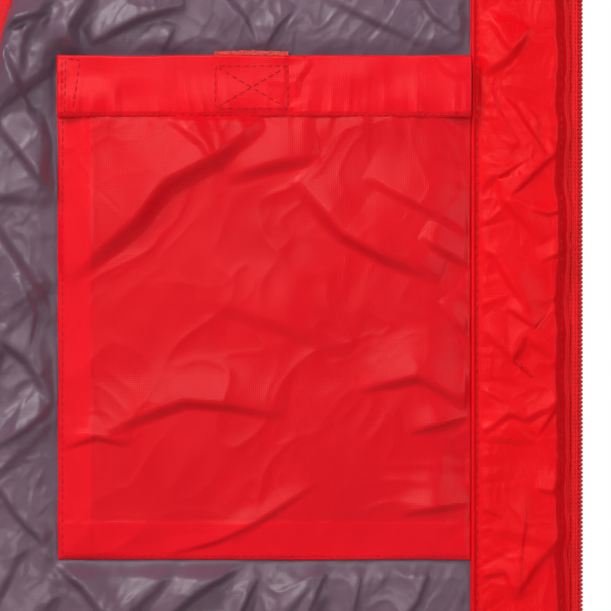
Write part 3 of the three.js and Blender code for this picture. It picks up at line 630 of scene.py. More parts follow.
def camera_and_light():
    data = bpy.data.cameras.new("camera")
    camera = bpy.data.objects.new("camera", data)
    bpy.context.scene.collection.objects.link(camera)
    target = LEFT.at(VIEW_CENTRE[0], VIEW_CENTRE[1], THICKNESS)
    place = (target - LEFT.out * VIEW_DISTANCE) * MM
    right, up, back = -LEFT.across, LEFT.up, -LEFT.out
    turn = Matrix(np.stack([right, up, back], axis=1).tolist()).to_4x4()
    camera.matrix_world = Matrix.Translation(place.tolist()) @ turn
    data.sensor_width = 36
    data.lens = 36 * VIEW_DISTANCE / VIEW_SIZE
    data.clip_start, data.clip_end = 0.05, 20
    bpy.context.scene.camera = camera

    def area(name, place, aim, size, power):
        lamp = bpy.data.lights.new(name, "AREA")
        lamp.size, lamp.energy = size, power
        light = bpy.data.objects.new(name, lamp)
        light.location = place
        light.rotation_euler = (Vector(aim) - Vector(place)).to_track_quat("-Z", "Y").to_euler()
        bpy.context.scene.collection.objects.link(light)

    flap = Vector((LEFT.at(*VIEW_CENTRE, THICKNESS) * MM).tolist())
    view = Vector(back.tolist())
    high, left = Vector(up.tolist()), Vector((-right).tolist())
    middle = (0, 0, -0.3)
    area("key", flap + view * 0.9 + high * 1.15 + left * 0.95, flap, 0.4, 15.5)
    area("gloss", flap + view * 1.3 + high * 0.5 + left * 0.2, flap, 0.4, 4.6)
    area("right_fill", flap + view * 0.8 - left * 0.9 + high * 0.2, flap, 0.7, 3.0)
    area("front_fill", (0.9, -1.9, 0.3), middle, 1.6, 2)
    area("front_left", (-1.9, -1.2, 0.8), middle, 1.0, 6)
    area("behind", (0.6, 2.0, 0.9), middle, 1.0, 22)
    area("behind_left", (-1.9, 1.2, 0.4), middle, 1.0, 10)
    world = bpy.data.worlds.new("studio")
    bpy.context.scene.world = world
    world.use_nodes = True
    tree = world.node_tree
    soft_light = tree.nodes["Background"]
    soft_light.inputs["Color"].default_value = (1, 1, 1, 1)
    soft_light.inputs["Strength"].default_value = 0.15
    seen = node(tree, "ShaderNodeBackground", Strength=1.0)
    seen.inputs["Color"].default_value = (1, 1, 1, 1)
    path = tree.nodes.new("ShaderNodeLightPath")
    mix = tree.nodes.new("ShaderNodeMixShader")
    tree.links.new(path.outputs["Is Camera Ray"], mix.inputs[0])
    tree.links.new(soft_light.outputs[0], mix.inputs[1])
    tree.links.new(seen.outputs[0], mix.inputs[2])
    tree.links.new(mix.outputs[0], tree.nodes["World Output"].inputs["Surface"])
    bpy.context.scene.view_settings.view_transform = "Standard"
    floor_height = CAD_BOX[0].z - 0.06
    corners = [(-3, -3), (3, -3), (3, 3), (-3, 3)]
    points = [(x / MM, y / MM, floor_height / MM) for x, y in corners]
    pale = cloth("pale_floor", (0.8, 0.8, 0.79), pitch=8, bump=0.02, mottle=0.02, patch=0.5, Roughness=0.8)
    plan = [(x, y) for x, y in corners]
    floor = make_object("studio_floor", points, [[0, 1, 2, 3]], pale, plan)


camera_and_light()

# ---- The inside of the fronts ----

# The inner pocket's edges, in millimetres across from the zip and up from the hem, measured in the
# photograph at its scale. part.mjs has these sizes under names of its own.
POCKET_NEAR = 41.2
POCKET_FAR = 189.6
POCKET_LOW = 77.0
POCKET_STITCH = 236.0
POCKET_TOP = 258.0
TAB = (106.6, 133.4, 237.8, 259.8)
PLY_SIDE = 176.8
PLY_LOW = 91.3

# Drawn folds: the width of the drop, its height, then the points across and up it runs through. All were
# placed from the photograph. 25 of the 58 started as picture positions that a small script turned into
# millimetres, and were adjusted by hand here; the others were typed in.
LINING_FOLDS = [
    (4.5, 4.5, [(174, 283), (184, 268), (181, 256)]),
    (3.2, 3.4, [(178, 262), (160, 271), (143, 276)]),
    (1.8, 1.6, [(153, 257), (147, 269)]),
    (4.0, 2.6, [(189, 283), (201, 264), (203, 246)]),
    (3.0, 2.2, [(205, 282), (209, 262), (199, 238), (193, 228)]),
    (3.4, 3.0, [(214, 236), (201, 220), (187, 202)]),
    (3.0, 2.0, [(196, 240), (192, 226), (196, 208)]),
    (3.6, 2.6, [(216, 204), (203, 184), (189, 164)]),
    (2.4, 1.8, [(203, 180), (197, 166), (200, 150)]),
    (4.2, 3.2, [(216, 160), (201, 148), (188, 128)]),
    (3.0, 2.4, [(214, 116), (200, 124), (187, 137)]),
    (3.0, 2.4, [(216, 110), (204, 92), (192, 80)]),
    (3.4, 3.4, [(196, 80), (181, 67), (168, 50)]),
    (3.6, 4.0, [(157, 50), (139, 65), (120, 77)]),
    (2.0, 1.8, [(127, 50), (117, 72)]),
    (2.2, 1.8, [(103, 50), (92, 75)]),
    (1.8, 1.4, [(84, 52), (80, 74)]),
    (2.4, 2.0, [(72, 48), (60, 62), (55, 76)]),
    (3.4, 1.6, [(96, 280), (76, 270), (58, 262)]),
    (2.6, 1.6, [(66, 288), (55, 272), (44, 264)]),
    (3.0, 1.6, [(133, 284), (122, 272), (118, 262)]),
    (2.0, 1.4, [(104, 276), (112, 266), (115, 260)]),
]
POCKET_FOLDS = [
    (6.5, 3.4, [(186, 176), (161, 197), (150, 211), (131, 221), (115, 234)]),
    (5.0, 1.8, [(129, 213), (112, 218), (95, 221)]),
    (5.5, 2.8, [(106, 213), (88, 193), (73, 185), (52, 177)]),
    (4.0, 1.4, [(80, 214), (59, 203), (42, 194)]),
    (3.0, 1.6, [(60, 193), (41, 181)]),
    (2.4, 1.2, [(53, 170), (41, 154)]),
    (4.2, 1.9, [(172, 122), (158, 128), (144, 133), (130, 132), (108, 128)]),
    (3.8, 1.8, [(82, 137), (60, 142), (50, 136), (40, 130)]),
    (2.6, 1.4, [(64, 122), (41, 128)]),
    (2.8, 1.2, [(67, 93), (41, 97)]),
    (1.8, 0.9, [(152, 78), (133, 83), (118, 90), (96, 104)]),
    (2.2, 1.2, [(187, 117), (176, 121), (164, 118)]),
    (2.4, 0.9, [(150, 235), (138, 226), (133, 216)]),
    (6.0, 0.9, [(140, 170), (110, 160), (84, 150)]),
]
FACING_FOLDS = [
    (2.6, 1.6, [(36, 274), (29, 262), (24, 258)]),
    (3.4, 1.9, [(37, 251), (28, 256), (19, 268)]),
    (1.8, 1.1, [(34, 248), (31, 239), (23, 226)]),
    (2.6, 1.7, [(31, 246), (25, 240), (13, 221)]),
    (1.4, 0.9, [(23, 242), (17, 236), (16, 226)]),
    (3.6, 2.0, [(40, 209), (32, 214), (30, 206), (22, 198), (16, 190)]),
    (2.2, 1.7, [(27, 207), (18, 216), (8, 225)]),
    (1.4, 1.1, [(20, 203), (13, 201), (7, 203)]),
    (3.0, 1.8, [(41, 189), (33, 186), (28, 177), (19, 165)]),
    (1.4, 1.0, [(16, 184), (6, 188)]),
    (2.2, 1.4, [(29, 168), (16, 159)]),
    (3.4, 1.8, [(39, 161), (26, 149), (21, 156), (8, 146)]),
    (2.4, 1.5, [(40, 120), (27, 129), (21, 127), (13, 131), (6, 137)]),
    (1.4, 0.9, [(38, 138), (28, 133)]),
    (1.6, 1.1, [(17, 121), (10, 132), (6, 137)]),
    (3.0, 1.0, [(38, 120), (18, 119)]),
    (2.0, 1.4, [(18, 102), (12, 101), (6, 105)]),
    (1.3, 0.9, [(20, 102), (23, 77), (23, 62)]),
    (1.6, 0.9, [(39, 96), (30, 92)]),
    (5.0, 1.3, [(33, 87), (12, 82)]),
    (2.6, 1.7, [(7, 86), (17, 75), (26, 62)]),
    (2.0, 1.3, [(40, 70), (29, 72), (24, 62)]),
]
LINING_FOLDS += random_folds(34, 50, 230, 300, 600, 21, 4.0, 3.0, 60, 2.2)
LINING_FOLDS += random_folds(10, 60, 240, 5, 50, 22, 3.5, 2.6, 40, 1.9)
LINING_FOLDS += random_folds(14, 212, 250, 60, 290, 23, 3.5, 2.8, 40, 2.4)
FACING_FOLDS += random_folds(34, 8, 36, 285, 620, 24, 2.4, 1.5, 16, 0.8)
FACING_FOLDS += random_folds(6, 8, 36, 5, 55, 25, 2.4, 1.5, 16, 0.8)


def over_pocket(c, t, soften=5.0):
    """1 well inside the inner pocket's outline and 0 outside it."""
    inside = np.minimum(np.minimum(c - POCKET_NEAR, POCKET_FAR - c), np.minimum(t - POCKET_LOW, POCKET_TOP - t))
    return smooth(inside / soften)


def beside_pocket(c, t):
    """The distance outside the inner pocket's outline, 0 inside it."""
    across = np.maximum(np.maximum(POCKET_NEAR - c, c - POCKET_FAR), 0)
    up = np.maximum(np.maximum(POCKET_LOW - t, t - POCKET_TOP), 0)
    return np.hypot(across, up)


def lining_height(front, c, t):
    """How far the lining stands proud of its base plane."""
    height = 1.0 + 0.9 * noise(c / 26, t / 26, 1) + 0.4 * noise((c + t) / 9, (c - t) / 22, 2)
    height = height + 1.7 * folds(c, t, LINING_FOLDS) + 0.8 * creased((c + t) / 17, (c - t) / 30, 4)
    height = height + 1.0 * creased((c + 0.7 * t) / 8, (0.7 * c - t) / 15, 9)
    height = height + puckers(t, c - FACING_INNER, 4.0, 0.8, 5.0, 3)
    if front.side == "left":
        for along, away, seed in ((t, c - POCKET_FAR, 5), (c, POCKET_LOW - t, 6), (c, t - POCKET_TOP, 7)):
            height = height + puckers(along, np.abs(away), 6.0, 0.9, 6.0, seed)
        near_tab = np.exp(-(((c - 120) / 16) ** 2)) * (t > POCKET_TOP - 3)
        height = height + near_tab * puckers(c, np.abs(t - POCKET_TOP), 3.2, 1.6, 8.0, 8, 1.6)
        height = height * (1 - over_pocket(c, t)) * (0.12 + 0.88 * smooth(beside_pocket(c, t) / 7))
    edge = np.minimum(c - FACING_INNER, front.crease(t) - c)
    return np.maximum(height, 0) * smooth(edge / 5)


def pocket_depth(c, t):
    """The pocket cloth's depth below the front's outer face; its seams are drawn in."""
    edge = np.minimum(np.minimum(c - POCKET_NEAR, POCKET_FAR - c), t - POCKET_LOW)
    depth = 12.7 + 1.8 * smooth(edge / 16)
    height = 1.45 * folds(c, t, POCKET_FOLDS) + 0.5 * noise(c / 30, t / 30, 11) + 0.14 * noise(c / 6, t / 9, 12)
    height = height + 0.5 * creased((c + t) / 26, (c - t) / 34, 17)
    height = height + puckers(c, POCKET_STITCH - t, 5.0, 0.6, 5.5, 13, 0.8)
    height = height + puckers(t, c - POCKET_NEAR, 7.0, 0.9, 7.0, 14)
    height = height + puckers(t, POCKET_FAR - c, 9.0, 0.35, 6.0, 15)
    height = height + 0.22 * smooth((c - PLY_SIDE) / 0.8) + 0.22 * smooth((PLY_LOW - t) / 0.8)
    return depth + height * smooth(edge / 2.5) * smooth((POCKET_STITCH + 2.5 - t) / 4)


def hem_depth(c, t):
    height = 0.5 * noise(c / 12, t / 9, 31) + puckers(c, t - POCKET_STITCH, 4.5, 1.0, 6.0, 32, 0.9)
    height = height + puckers(t, POCKET_FAR - c, 4.0, 0.3, 8.0, 33)
    height = height + fold(c, t, [(98, 256), (103, 249), (103, 243)], 2.4, 0.9)
    height = height + fold(c, t, [(58, 262), (50, 252), (43, 249)], 3.0, 0.7)
    tab = np.minimum(np.minimum(c - TAB[0], TAB[1] - c), t - TAB[2])
    height = height + 0.45 * smooth(tab / 1.6) + puckers(t, np.abs(c - TAB[0]), 3.0, 0.4, 3.5, 34)
    sewn = smooth((t - POCKET_STITCH) / 2.2)
    return 15.0 + 1.0 * sewn + height * (0.35 + 0.65 * sewn)


def facing_depth(c, t):
    """The facing rolls over the zip tape at its outer edge and is piped where it meets the lining."""
    outer = 6.0 + 0.7 * noise(t / 9, 0 * t, 41) + 0.3 * noise(t / 3.2, 0 * t, 42)
    roll = smooth((c - outer) / 5.0)
    height = folds(c, t, FACING_FOLDS) + 0.5 * creased(c / 9, t / 11, 43) + 0.5 * noise(c / 13, t / 15, 44)
    height = height + puckers(t, 39.2 - c, 3.4, 0.8, 5.0, 45, 0.8) + puckers(t, c - 6, 4.4, 0.6, 4.0, 46)
    groove = np.exp(-(((c - 38.6) / 0.8) ** 2))
    piping = np.exp(-(((c - 40.3) / 0.85) ** 2))
    inside = smooth((c - outer) / 4) * smooth((39 - c) / 4)
    return 7.3 + 4.6 * roll + height * inside - 0.4 * groove + 1.0 * piping


def spread(start, stop, *spans):
    """Grid lines from start to stop; spans are (from, to, step) stretches with their own step."""
    lines = [start]
    for low, high, step in spans:
        count = max(1, int(round((high - low) / step)))
        lines.extend(np.linspace(low, high, count + 1)[1:])
    return np.array(lines + ([stop] if lines[-1] < stop else []))


def front_lining(front):
    fine = front.side == "left"
    if fine:
        t = spread(0, 640, (0, 52, 2.6), (52, 286, 0.75), (286, 640, 3.0)) / 640
        u = np.linspace(0, 1, 270)
    else:
        t, u = np.linspace(0, 1, 160), np.linspace(0, 1, 70)
    u, v = crossed(u, t)
    c, t = front.plan(FACING_INNER - 0.6, u, v, rim=1.0)
    grid = front.at(c, t, LINING_FACE + lining_height(front, c, t))
    name = f"{front.side}_front_lining_satin"
    piece = layered(name, grid, front.at(c, t, LINING_FACE - 0.6), LINING_SATIN,
                    plan=np.stack([c, t], axis=2) * MM)
    nodes = [f"{front.side}_front_lining", f"{front.side}_pocket_bag"]
    soft(piece, f"{front.side}_front", nodes, front.at(c, t, LINING_FACE))


def front_facing(front):
    fine = front.side == "left"
    if fine:
        t = spread(0, 1, (0, 52, 1.6), (52, 286, 0.6), (286, 633, 2.0))
        c = np.linspace(5.2, FACING_INNER, 76)
    else:
        t, c = np.linspace(0, 633, 240), np.linspace(5.2, FACING_INNER, 36)
    c, t = crossed(c, t)
    t = np.maximum(t, front.hem(c) + 0.6)
    wander = 0.7 * noise(t / 9, 0 * t, 41) + 0.3 * noise(t / 3.2, 0 * t, 42)
    beside_slider = 1.3 * smooth((26 - t) / 8)
    placed = c + (wander + beside_slider) * smooth((12 - c) / 7)
    grid = front.at(placed, t, facing_depth(placed, t))
    below = front.at(placed, t, np.minimum(facing_depth(placed, t) - 0.5, LINING_FACE - 0.8))
    piece = layered(f"{front.side}_front_facing_cloth", grid, below, FACING_CLOTH,
                    plan=np.stack([c, t], axis=2) * MM)
    soft(piece, f"{front.side}_front", [f"{front.side}_front_facing"], front.at(c, t, 12))


FACING_STITCH_LINES = (38.6, 8.2)
FACING_STITCH_LIFT = 0.1


def front_stitches(front):
    t = np.arange(front.hem(39) + 2, 632, 1.0)
    lines = []
    for c in FACING_STITCH_LINES:
        line = front.at(c, t, facing_depth(c + 0 * t, t) + FACING_STITCH_LIFT)
        lines.append((line, np.tile(-front.out, (len(t), 1))))
    stitches(f"{front.side}_facing_stitches", lines, THREAD, f"{front.side}_front",
             length=2.3, gap=0.9, radius=0.24)


TAPE_STITCH_LINES = (3.0, 4.5, 5.6)


def tape_depth(c, t):
    return 6.3 + 0.12 * np.cos(2 * math.pi * (c - 2.2) / 1.15) + 0.15 * noise(t / 14, c / 4, 51)


def zip_tape(front):
    side = front.side
    low = (node_points(f"{side}_zip_tape") - front.origin) @ front.up
    t = np.linspace(low.min(), ZIP_TOP, 500 if side == "left" else 120)
    c = np.concatenate([np.linspace(2.1, 8.4, 26), np.linspace(9.5, 16.8, 6)])
    c, t = crossed(c, t)
    piece = layered(f"{side}_zip_tape_cloth", front.at(c, t, tape_depth(c, t)), front.at(c, t, 5.75),
                    TAPE_WEAVE, plan=np.stack([c, t], axis=2) * MM)
    soft(piece, f"{side}_front", [f"{side}_zip_tape"], front.at(c, t, 6))
    t = np.arange(low.min() + 2, ZIP_TOP - 2, 0.75 if side == "left" else 3.0)
    lines = []
    for at in TAPE_STITCH_LINES:
        line = front.at(at + 0 * t, t, tape_depth(at + 0 * t, t) + 0.08)
        lines.append((line, np.tile(-front.out, (len(t), 1))))
    stitches(f"{side}_zip_tape_stitches", lines, THREAD, f"{side}_front", 0.95, 0.55, 0.17)


COIL_PITCH = 1.5


def coil_path(length, wide, deep, samples):
    """A helix of nylon, flattened where it is sewn: across, along and depth."""
    turns = length / COIL_PITCH
    angle = np.linspace(0, 2 * math.pi * turns, int(turns * samples))
    across = wide * (1 - np.cos(angle)) / 2
    return across, angle / (2 * math.pi) * COIL_PITCH, deep * np.sin(angle) / 2


def zip_coil(front):
    side = front.side
    span = (node_points(f"{side}_zip_coil") - front.origin) @ front.up
    near = ((node_points(f"{side}_zip_coil") - front.origin) @ front.across).min()
    across, along, deep = coil_path(span.max() - span.min(), 2.0, 1.3, 10)
    path = front.at(near + 0.55 + across, span.min() + along, 4.2 + deep)
    piece = tube(f"{side}_zip_coil_teeth", path, 0.56, COIL_NYLON, 6, up=front.out)
    firm(piece, f"{side}_front", "zip_coil", f"{side}_zip_coil")
    t = np.linspace(span.min(), span.max(), 200)
    core = tube(f"{side}_zip_coil_cord", front.at(1.7 + 0 * t, t, 4.2 + 0 * t), 0.75, TAPE_WEAVE, 8, up=front.out)
    firm(core, f"{side}_front", "zip_tape")


def inner_pocket():
    front = LEFT
    c = spread(POCKET_NEAR, POCKET_FAR, (POCKET_NEAR, POCKET_FAR, 0.7))
    t = spread(POCKET_LOW, POCKET_STITCH + 2.5, (POCKET_LOW, POCKET_STITCH - 6, 0.7),
               (POCKET_STITCH - 6, POCKET_STITCH + 2.5, 0.5))
    c, t = crossed(c, t)
    ply = np.maximum(smooth((c - PLY_SIDE) / 0.9), smooth((PLY_LOW - t) / 0.9))
    wave = 0.25 * noise(t / 12, 0 * t, 61) * smooth((c - 180) / 9)
    low = 0.25 * noise(c / 14, 0 * c, 62) * smooth((88 - t) / 9)
    grid = front.at(c + wave, t + low, pocket_depth(c, t))
    panel = layered("inner_pocket_cloth", grid, front.at(c + wave, t + low, pocket_depth(c, t) - 0.55),
                    POCKET_CLOTH, ply=ply, plan=np.stack([c, t], axis=2) * MM)
    soft(panel, "left_front", ["inner_pocket_panel"], front.at(c, t, 14))
    loop = spread(TAB[0], TAB[1], (TAB[0], TAB[1], 0.9)), spread(TAB[2], TAB[3], (TAB[2], TAB[3], 0.9))
    a, b = crossed(*loop)
    rows = layered("inner_pocket_loop_side", front.at(a, b, 12.9 + 0.1 * noise(a, b, 71)),
                   front.at(a, b, 12.0), HOOK_TAPE)
    soft(rows, "left_front", ["inner_pocket_loop_tape"], front.at(a, b, 13))


def pocket_hem():
    front, body = LEFT, "inner_pocket_mouth_hem"
    c = spread(POCKET_NEAR, POCKET_FAR, (POCKET_NEAR, POCKET_FAR, 0.6))
    t = spread(POCKET_STITCH + 0.3, POCKET_TOP, (POCKET_STITCH + 0.3, POCKET_TOP, 0.5))
    c, t = crossed(c, t)
    top_edge = 0.35 * noise(c / 17, 0 * c, 35) * smooth((t - 250) / 7)
    outside = front.at(c, t + top_edge, hem_depth(c, t))
    hem = layered("inner_pocket_hem_cloth", outside, front.at(c, t + top_edge, hem_depth(c, t) - 1.0),
                  POCKET_CLOTH, ply=np.ones(c.shape), bulge=0.3, plan=np.stack([c, t], axis=2) * MM)
    soft(hem, body, ["inner_pocket_hem"], front.at(c, t, 16))
    a = np.linspace(TAB[0], TAB[1], 68)
    b = np.concatenate([np.linspace(TAB[2], 256, 20), np.linspace(256.4, TAB[3], 10)])
    a, b = crossed(a, b)
    fray = 0.28 * noise(a / 0.7, 0 * a, 36) * smooth((b - 257) / 2)
    bow = 0.5 * np.sin(math.pi * (a - TAB[0]) / (TAB[1] - TAB[0])) ** 0.5 * smooth((b - 256) / 3)
    face = front.at(a, b + fray + bow - 0.3, 14.7 + 0.12 * noise(a * 2, b, 37))
    tape = layered("inner_pocket_hook_side", face, front.at(a, b + fray + bow - 0.3, 13.6), HOOK_TAPE)
    soft(tape, body, ["inner_pocket_hook_tape"], front.at(a, b, 14))


def on_cloth(front, depth, points, step=0.5):
    """A line of stitches through plan points, lying on cloth whose depth is given by a function."""
    points = np.asarray(points, float)
    run = np.concatenate([[0], np.cumsum(np.linalg.norm(np.diff(points, axis=0), axis=1))])
    s = np.linspace(0, run[-1], max(2, int(run[-1] / step)))
    c, t = (np.interp(s, run, points[:, i]) for i in range(2))
    return front.at(c, t, depth(c, t) + 0.06), np.tile(-front.out, (len(s), 1))


def pocket_stitches():
    front = LEFT
    low, far = POCKET_LOW + 1.5, POCKET_FAR - 1.6
    outline = [on_cloth(front, pocket_depth, [(far, POCKET_STITCH - 1), (far, low), (POCKET_NEAR + 1, low)])]
    stitches("inner_pocket_edge_stitches", outline, THREAD, "left_front", length=2.0, gap=0.8, radius=0.2)
    a, b, low, high = TAB[0] + 0.4, TAB[1] - 0.4, 239.2, 254.4
    line = POCKET_STITCH + 0.9
    tack = [(187.0, line + 1), (186.6, 257), (181.4, 256.8), (184.0, line + 2)]
    runs = [
        [(POCKET_FAR - 1.6, line), (POCKET_NEAR + 1, line)],
        [(POCKET_FAR - 1.6, line), (POCKET_FAR - 1.6, 257)],
        [(a, low), (b, low), (b, high), (a, high), (a, low)],
        [(a, low), (b, high)],
        [(a, high), (b, low)],
        tack,
    ]
    lines = [on_cloth(front, hem_depth, run) for run in runs]
    stitches("inner_pocket_hem_stitches", lines, THREAD, "inner_pocket_mouth_hem",
             length=2.0, gap=0.8, radius=0.22)


for one in FRONTS.values():
    front_lining(one)
    front_facing(one)
    front_stitches(one)
    zip_tape(one)
    zip_coil(one)
inner_pocket()
pocket_hem()
pocket_stitches()

# ---- The outside of the fronts ----

def drape(x, y, seed, size=1.0):
    """The uneven hang of a padded shell: long shallow folds and small wrinkles over a plan."""
    long = 2.4 * noise(x / 38, y / 130, seed) + 1.0 * noise(x / 17, y / 60, seed + 1)
    return size * (long + 1.6 * creased(x / 42, y / 70, seed + 2) - 0.8)


def fullness(edge, reach=16.0):
    """How full a padded panel is at a distance from its nearest seam."""
    return np.sqrt(np.clip(edge / reach, 0, 1) * (2 - np.clip(edge / reach, 0, 1)))


def sewn_line(away, width=1.6, depth=1.3):
    return depth * np.exp(-((away / width) ** 2))


def front_padding(front):
    side = front.side
    u, v = crossed(np.linspace(0, 1, 120), np.linspace(0, 1, 260))
    c, t = front.plan(front.edge + 0.3, u, v, rim=0.8)
    above_hem = t - front.hem(c)
    edge = np.minimum(np.minimum(c - front.edge, front.crease(t) - c), above_hem)
    strokes = random_folds(22, 30, 240, 20, 560, 81, 7.0, 2.6, 80, 1.9)
    puff = fullness(edge) * (3.2 + drape(c, t, 82, 0.8) + folds(c, t, strokes) * 0.7)
    puff = puff - sewn_line(c - 14) - sewn_line(above_hem - 24)
    pocket = front.hand_pocket(c, t)
    puff = puff * smooth((np.abs(pocket[0]) - 9) / 10 + np.maximum(np.abs(pocket[1]) - 84, 0) / 10)
    outer = front.at(c, t, 1.2 - puff)
    inner = front.at(c, t, 2.4 + 7.9 * smooth((c - 17.4) / 2))
    piece = layered(f"{side}_front_padding", outer, inner, SHELL_CLOTH, bulge=1.2)
    soft(piece, f"{side}_front", [f"{side}_front_shell", f"{side}_front_wadding"])
    t = np.arange(26, 628, 1.5)
    c = 11.0 + 0 * t
    line = front.at(c, t, 1.2 - fullness(c - front.edge) * (3.2 + drape(c, t, 82, 0.8)) + 0.6)
    stitches(f"{side}_front_edge_stitches", [(line, np.tile(front.out, (len(t), 1)))], THREAD, f"{side}_front",
             length=2.6, gap=1.1, radius=0.3)


def hand_pocket(front):
    """Two padded lips, tacked at their ends, with a fine coil zip between them."""
    side, body = front.side, f"{front.side}_front"
    half = front.pocket_half + 5
    y = np.linspace(-half, half, 90)
    for name, x0, x1 in (("outer", -10, -2.6), ("inner", 2.6, 10)):
        x, run = crossed(np.linspace(x0, x1, 16), y)
        share = (x - x0) / (x1 - x0)
        ends = smooth((half - np.abs(run)) / 3)
        rise = 2.6 * np.sin(math.pi * np.clip(share, 0.02, 0.98)) ** 0.6 * (0.4 + 0.6 * ends)
        rise = rise + 0.25 * noise(run / 8, x / 5, 91)
        lip = layered(f"{side}_hand_pocket_lip_{name}", front.on_pocket(x, run, rise + 0.2),
                      front.on_pocket(x, run, -0.9), SHELL_CLOTH, bulge=0.2)
        soft(lip, body, [f"{side}_pocket_welt"] if name == "outer" else [])
    for end in (-1, 1):
        x, run = crossed(np.linspace(-9.4, 9.4, 30), end * np.linspace(half - 5, half - 0.4, 8))
        rise = 2.7 + 0.25 * np.cos(x * 3.0)
        tack = layered(f"{side}_hand_pocket_tack_{'high' if end > 0 else 'low'}", front.on_pocket(x, run, rise),
                       front.on_pocket(x, run, 0.4), THREAD, bulge=0.2)
        firm(tack, body, "shell")
    x, run = crossed(np.linspace(-5.4, 5.4, 12), y[2:-2])
    tape = layered(f"{side}_hand_pocket_tape", front.on_pocket(x, run, 0.9), front.on_pocket(x, run, 0.3),
                   TAPE_WEAVE)
    soft(tape, body, [f"{side}_pocket_zip"], front.on_pocket(x, run, 1))
    for sense in (-1, 1):
        across, along, deep = coil_path(2 * front.pocket_half - 2, 1.5, 1.0, 8)
        path = front.on_pocket(sense * (0.15 + across), along - front.pocket_half + 1, 1.5 + deep)
        chain = tube(f"{side}_hand_pocket_coil_{'a' if sense > 0 else 'b'}", path, 0.34, COIL_NYLON, 5,
                     up=front.out)
        firm(chain, body, "zip_coil")


def collar_front(front):
    side = front.side
    u, v = crossed(np.linspace(0, 1, 90), np.linspace(0, 1, 48))

    def curve(start, middle, end):
        start, middle, end = (np.array(p, float) for p in (start, middle, end))
        k = u[..., None]
        return start * (1 - k) ** 2 + 2 * middle * k * (1 - k) + end * k * k

    low_end = front.crease_high[1] + 1
    high_end = front.crease_high[1] + COLLAR_RISE - 0.5
    low = curve((front.edge, NECK + 1), (NECK_CURVE[0], NECK_CURVE[1] + 1), (front.crease(low_end) - 1, low_end))
    high = curve((front.edge, NECK + COLLAR_HEIGHT), (NECK_CURVE[0], NECK + COLLAR_HEIGHT + 6),
                 (front.crease(high_end) - 1, high_end))
    plan = low * (1 - v[..., None]) + high * v[..., None]
    c, t = plan[..., 0], plan[..., 1]
    edge = np.minimum(np.minimum(c - front.edge, front.crease(t) - c), (v * (1 - v)) ** 0.5 * COLLAR_HEIGHT)
    puff = fullness(edge, 10) * (1.6 + 0.6 * drape(c, t, 95)) - sewn_line((v - 0.9) * COLLAR_HEIGHT, depth=0.8)
    inner_depth = 2.4 + 8.0 * smooth((c - 17.4) / 2)
    piece = layered(f"{side}_collar_front_padding", front.at(c, t, 1.0 - puff), front.at(c, t, inner_depth),
                    SHELL_CLOTH, bulge=1.0)
    soft(piece, f"{side}_front", [f"{side}_collar_front"])
    depth = 7.3 + 4.2 * smooth((c - front.edge) / 3) + 0.5 * creased(c / 16, t / 18, 96)
    inside = layered(f"{side}_collar_front_inside", front.at(c, t, depth), front.at(c, t, depth - 0.7),
                     FACING_CLOTH)
    soft(inside, f"{side}_front", [], front.at(c, t, 11))


# ---- The body: the surfaces that its cloth follows, in millimetres up from the hem ----

class Spline:
    """A centripetal Catmull-Rom curve through points; at(k) takes k from 0 to 1 over its spans."""

    def __init__(self, points):
        points = np.array(points, float)
        ends = 2 * points[:1] - points[1:2], 2 * points[-1:] - points[-2:-1]
        self.points = np.concatenate([ends[0], points, ends[1]])
        self.spans = len(points) - 1

    def at(self, k):
        k = np.clip(np.asarray(k, float), 0, 1) * self.spans
        i = np.minimum(np.floor(k).astype(int), self.spans - 1)
        w = (k - i)[..., None]
        x0, x1, x2, x3 = (self.points[i + j] for j in range(4))
        d0, d1, d2 = (np.sqrt(np.linalg.norm(b - a, axis=-1, keepdims=True))
                      for a, b in ((x0, x1), (x1, x2), (x2, x3)))
        t1 = ((x1 - x0) / d0 - (x2 - x0) / (d0 + d1) + (x2 - x1) / d1) * d1
        t2 = ((x2 - x1) / d1 - (x3 - x1) / (d1 + d2) + (x3 - x2) / d2) * d1
        return x1 + t1 * w + (3 * (x2 - x1) - 2 * t1 - t2) * w ** 2 + (2 * (x1 - x2) + t1 + t2) * w ** 3


HOOD_HINGE = np.array([0, 78, 706.0])
SHIFT = np.array(JOINTS["hood_fold"]["pos_m"]) / MM - HOOD_HINGE
FLIP = np.array([-1.0, 1, 1])
CLOSED_OUT = RIGHT.out * FLIP
CLOSED_ACROSS = RIGHT.across * FLIP
CREASE_AXIS = unit(JOINTS["left_front_fold"]["axis"])
CREASE_AXIS = CREASE_AXIS * np.sign(CREASE_AXIS[2])
CREASE_POINT = np.array(JOINTS["left_front_fold"]["pos_m"]) / MM - SHIFT

# Each point of a profile: half the width, half the depth, height. The body's, sleeves' and hood's
# profiles and sizes repeat part.mjs's, so a change there has to be made here too.
BODY_PROFILE = Spline([(272, 72, 0), (266, 80, 160), (258, 86, 320), (250, 88, 470), (240, 84, 570),
                       (226, 76, 632), (190, 68, 668), (142, 61, 690), (102, 55, 700)])
COLLAR_PROFILE = Spline([(102, 55, 701.5), (94, 50, 735), (88, 44, 770)])
COLLAR_RISE = 70.0
COLLAR_HEIGHT = 75.0
ARMHOLE_TOP = np.array([222, 0, 655.0])
ARMHOLE_BOTTOM = np.array([250, 0, 472.0])
ARMHOLE_RADIUS = 130.0


def crease_at(z):
    return CREASE_POINT + CREASE_AXIS * ((z - CREASE_POINT[2]) / CREASE_AXIS[2])


def bezier(a, b, c, d, k):
    k = np.asarray(k)[:, None]
    return a * (1 - k) ** 3 + 3 * b * k * (1 - k) ** 2 + 3 * c * k ** 2 * (1 - k) + d * k ** 3


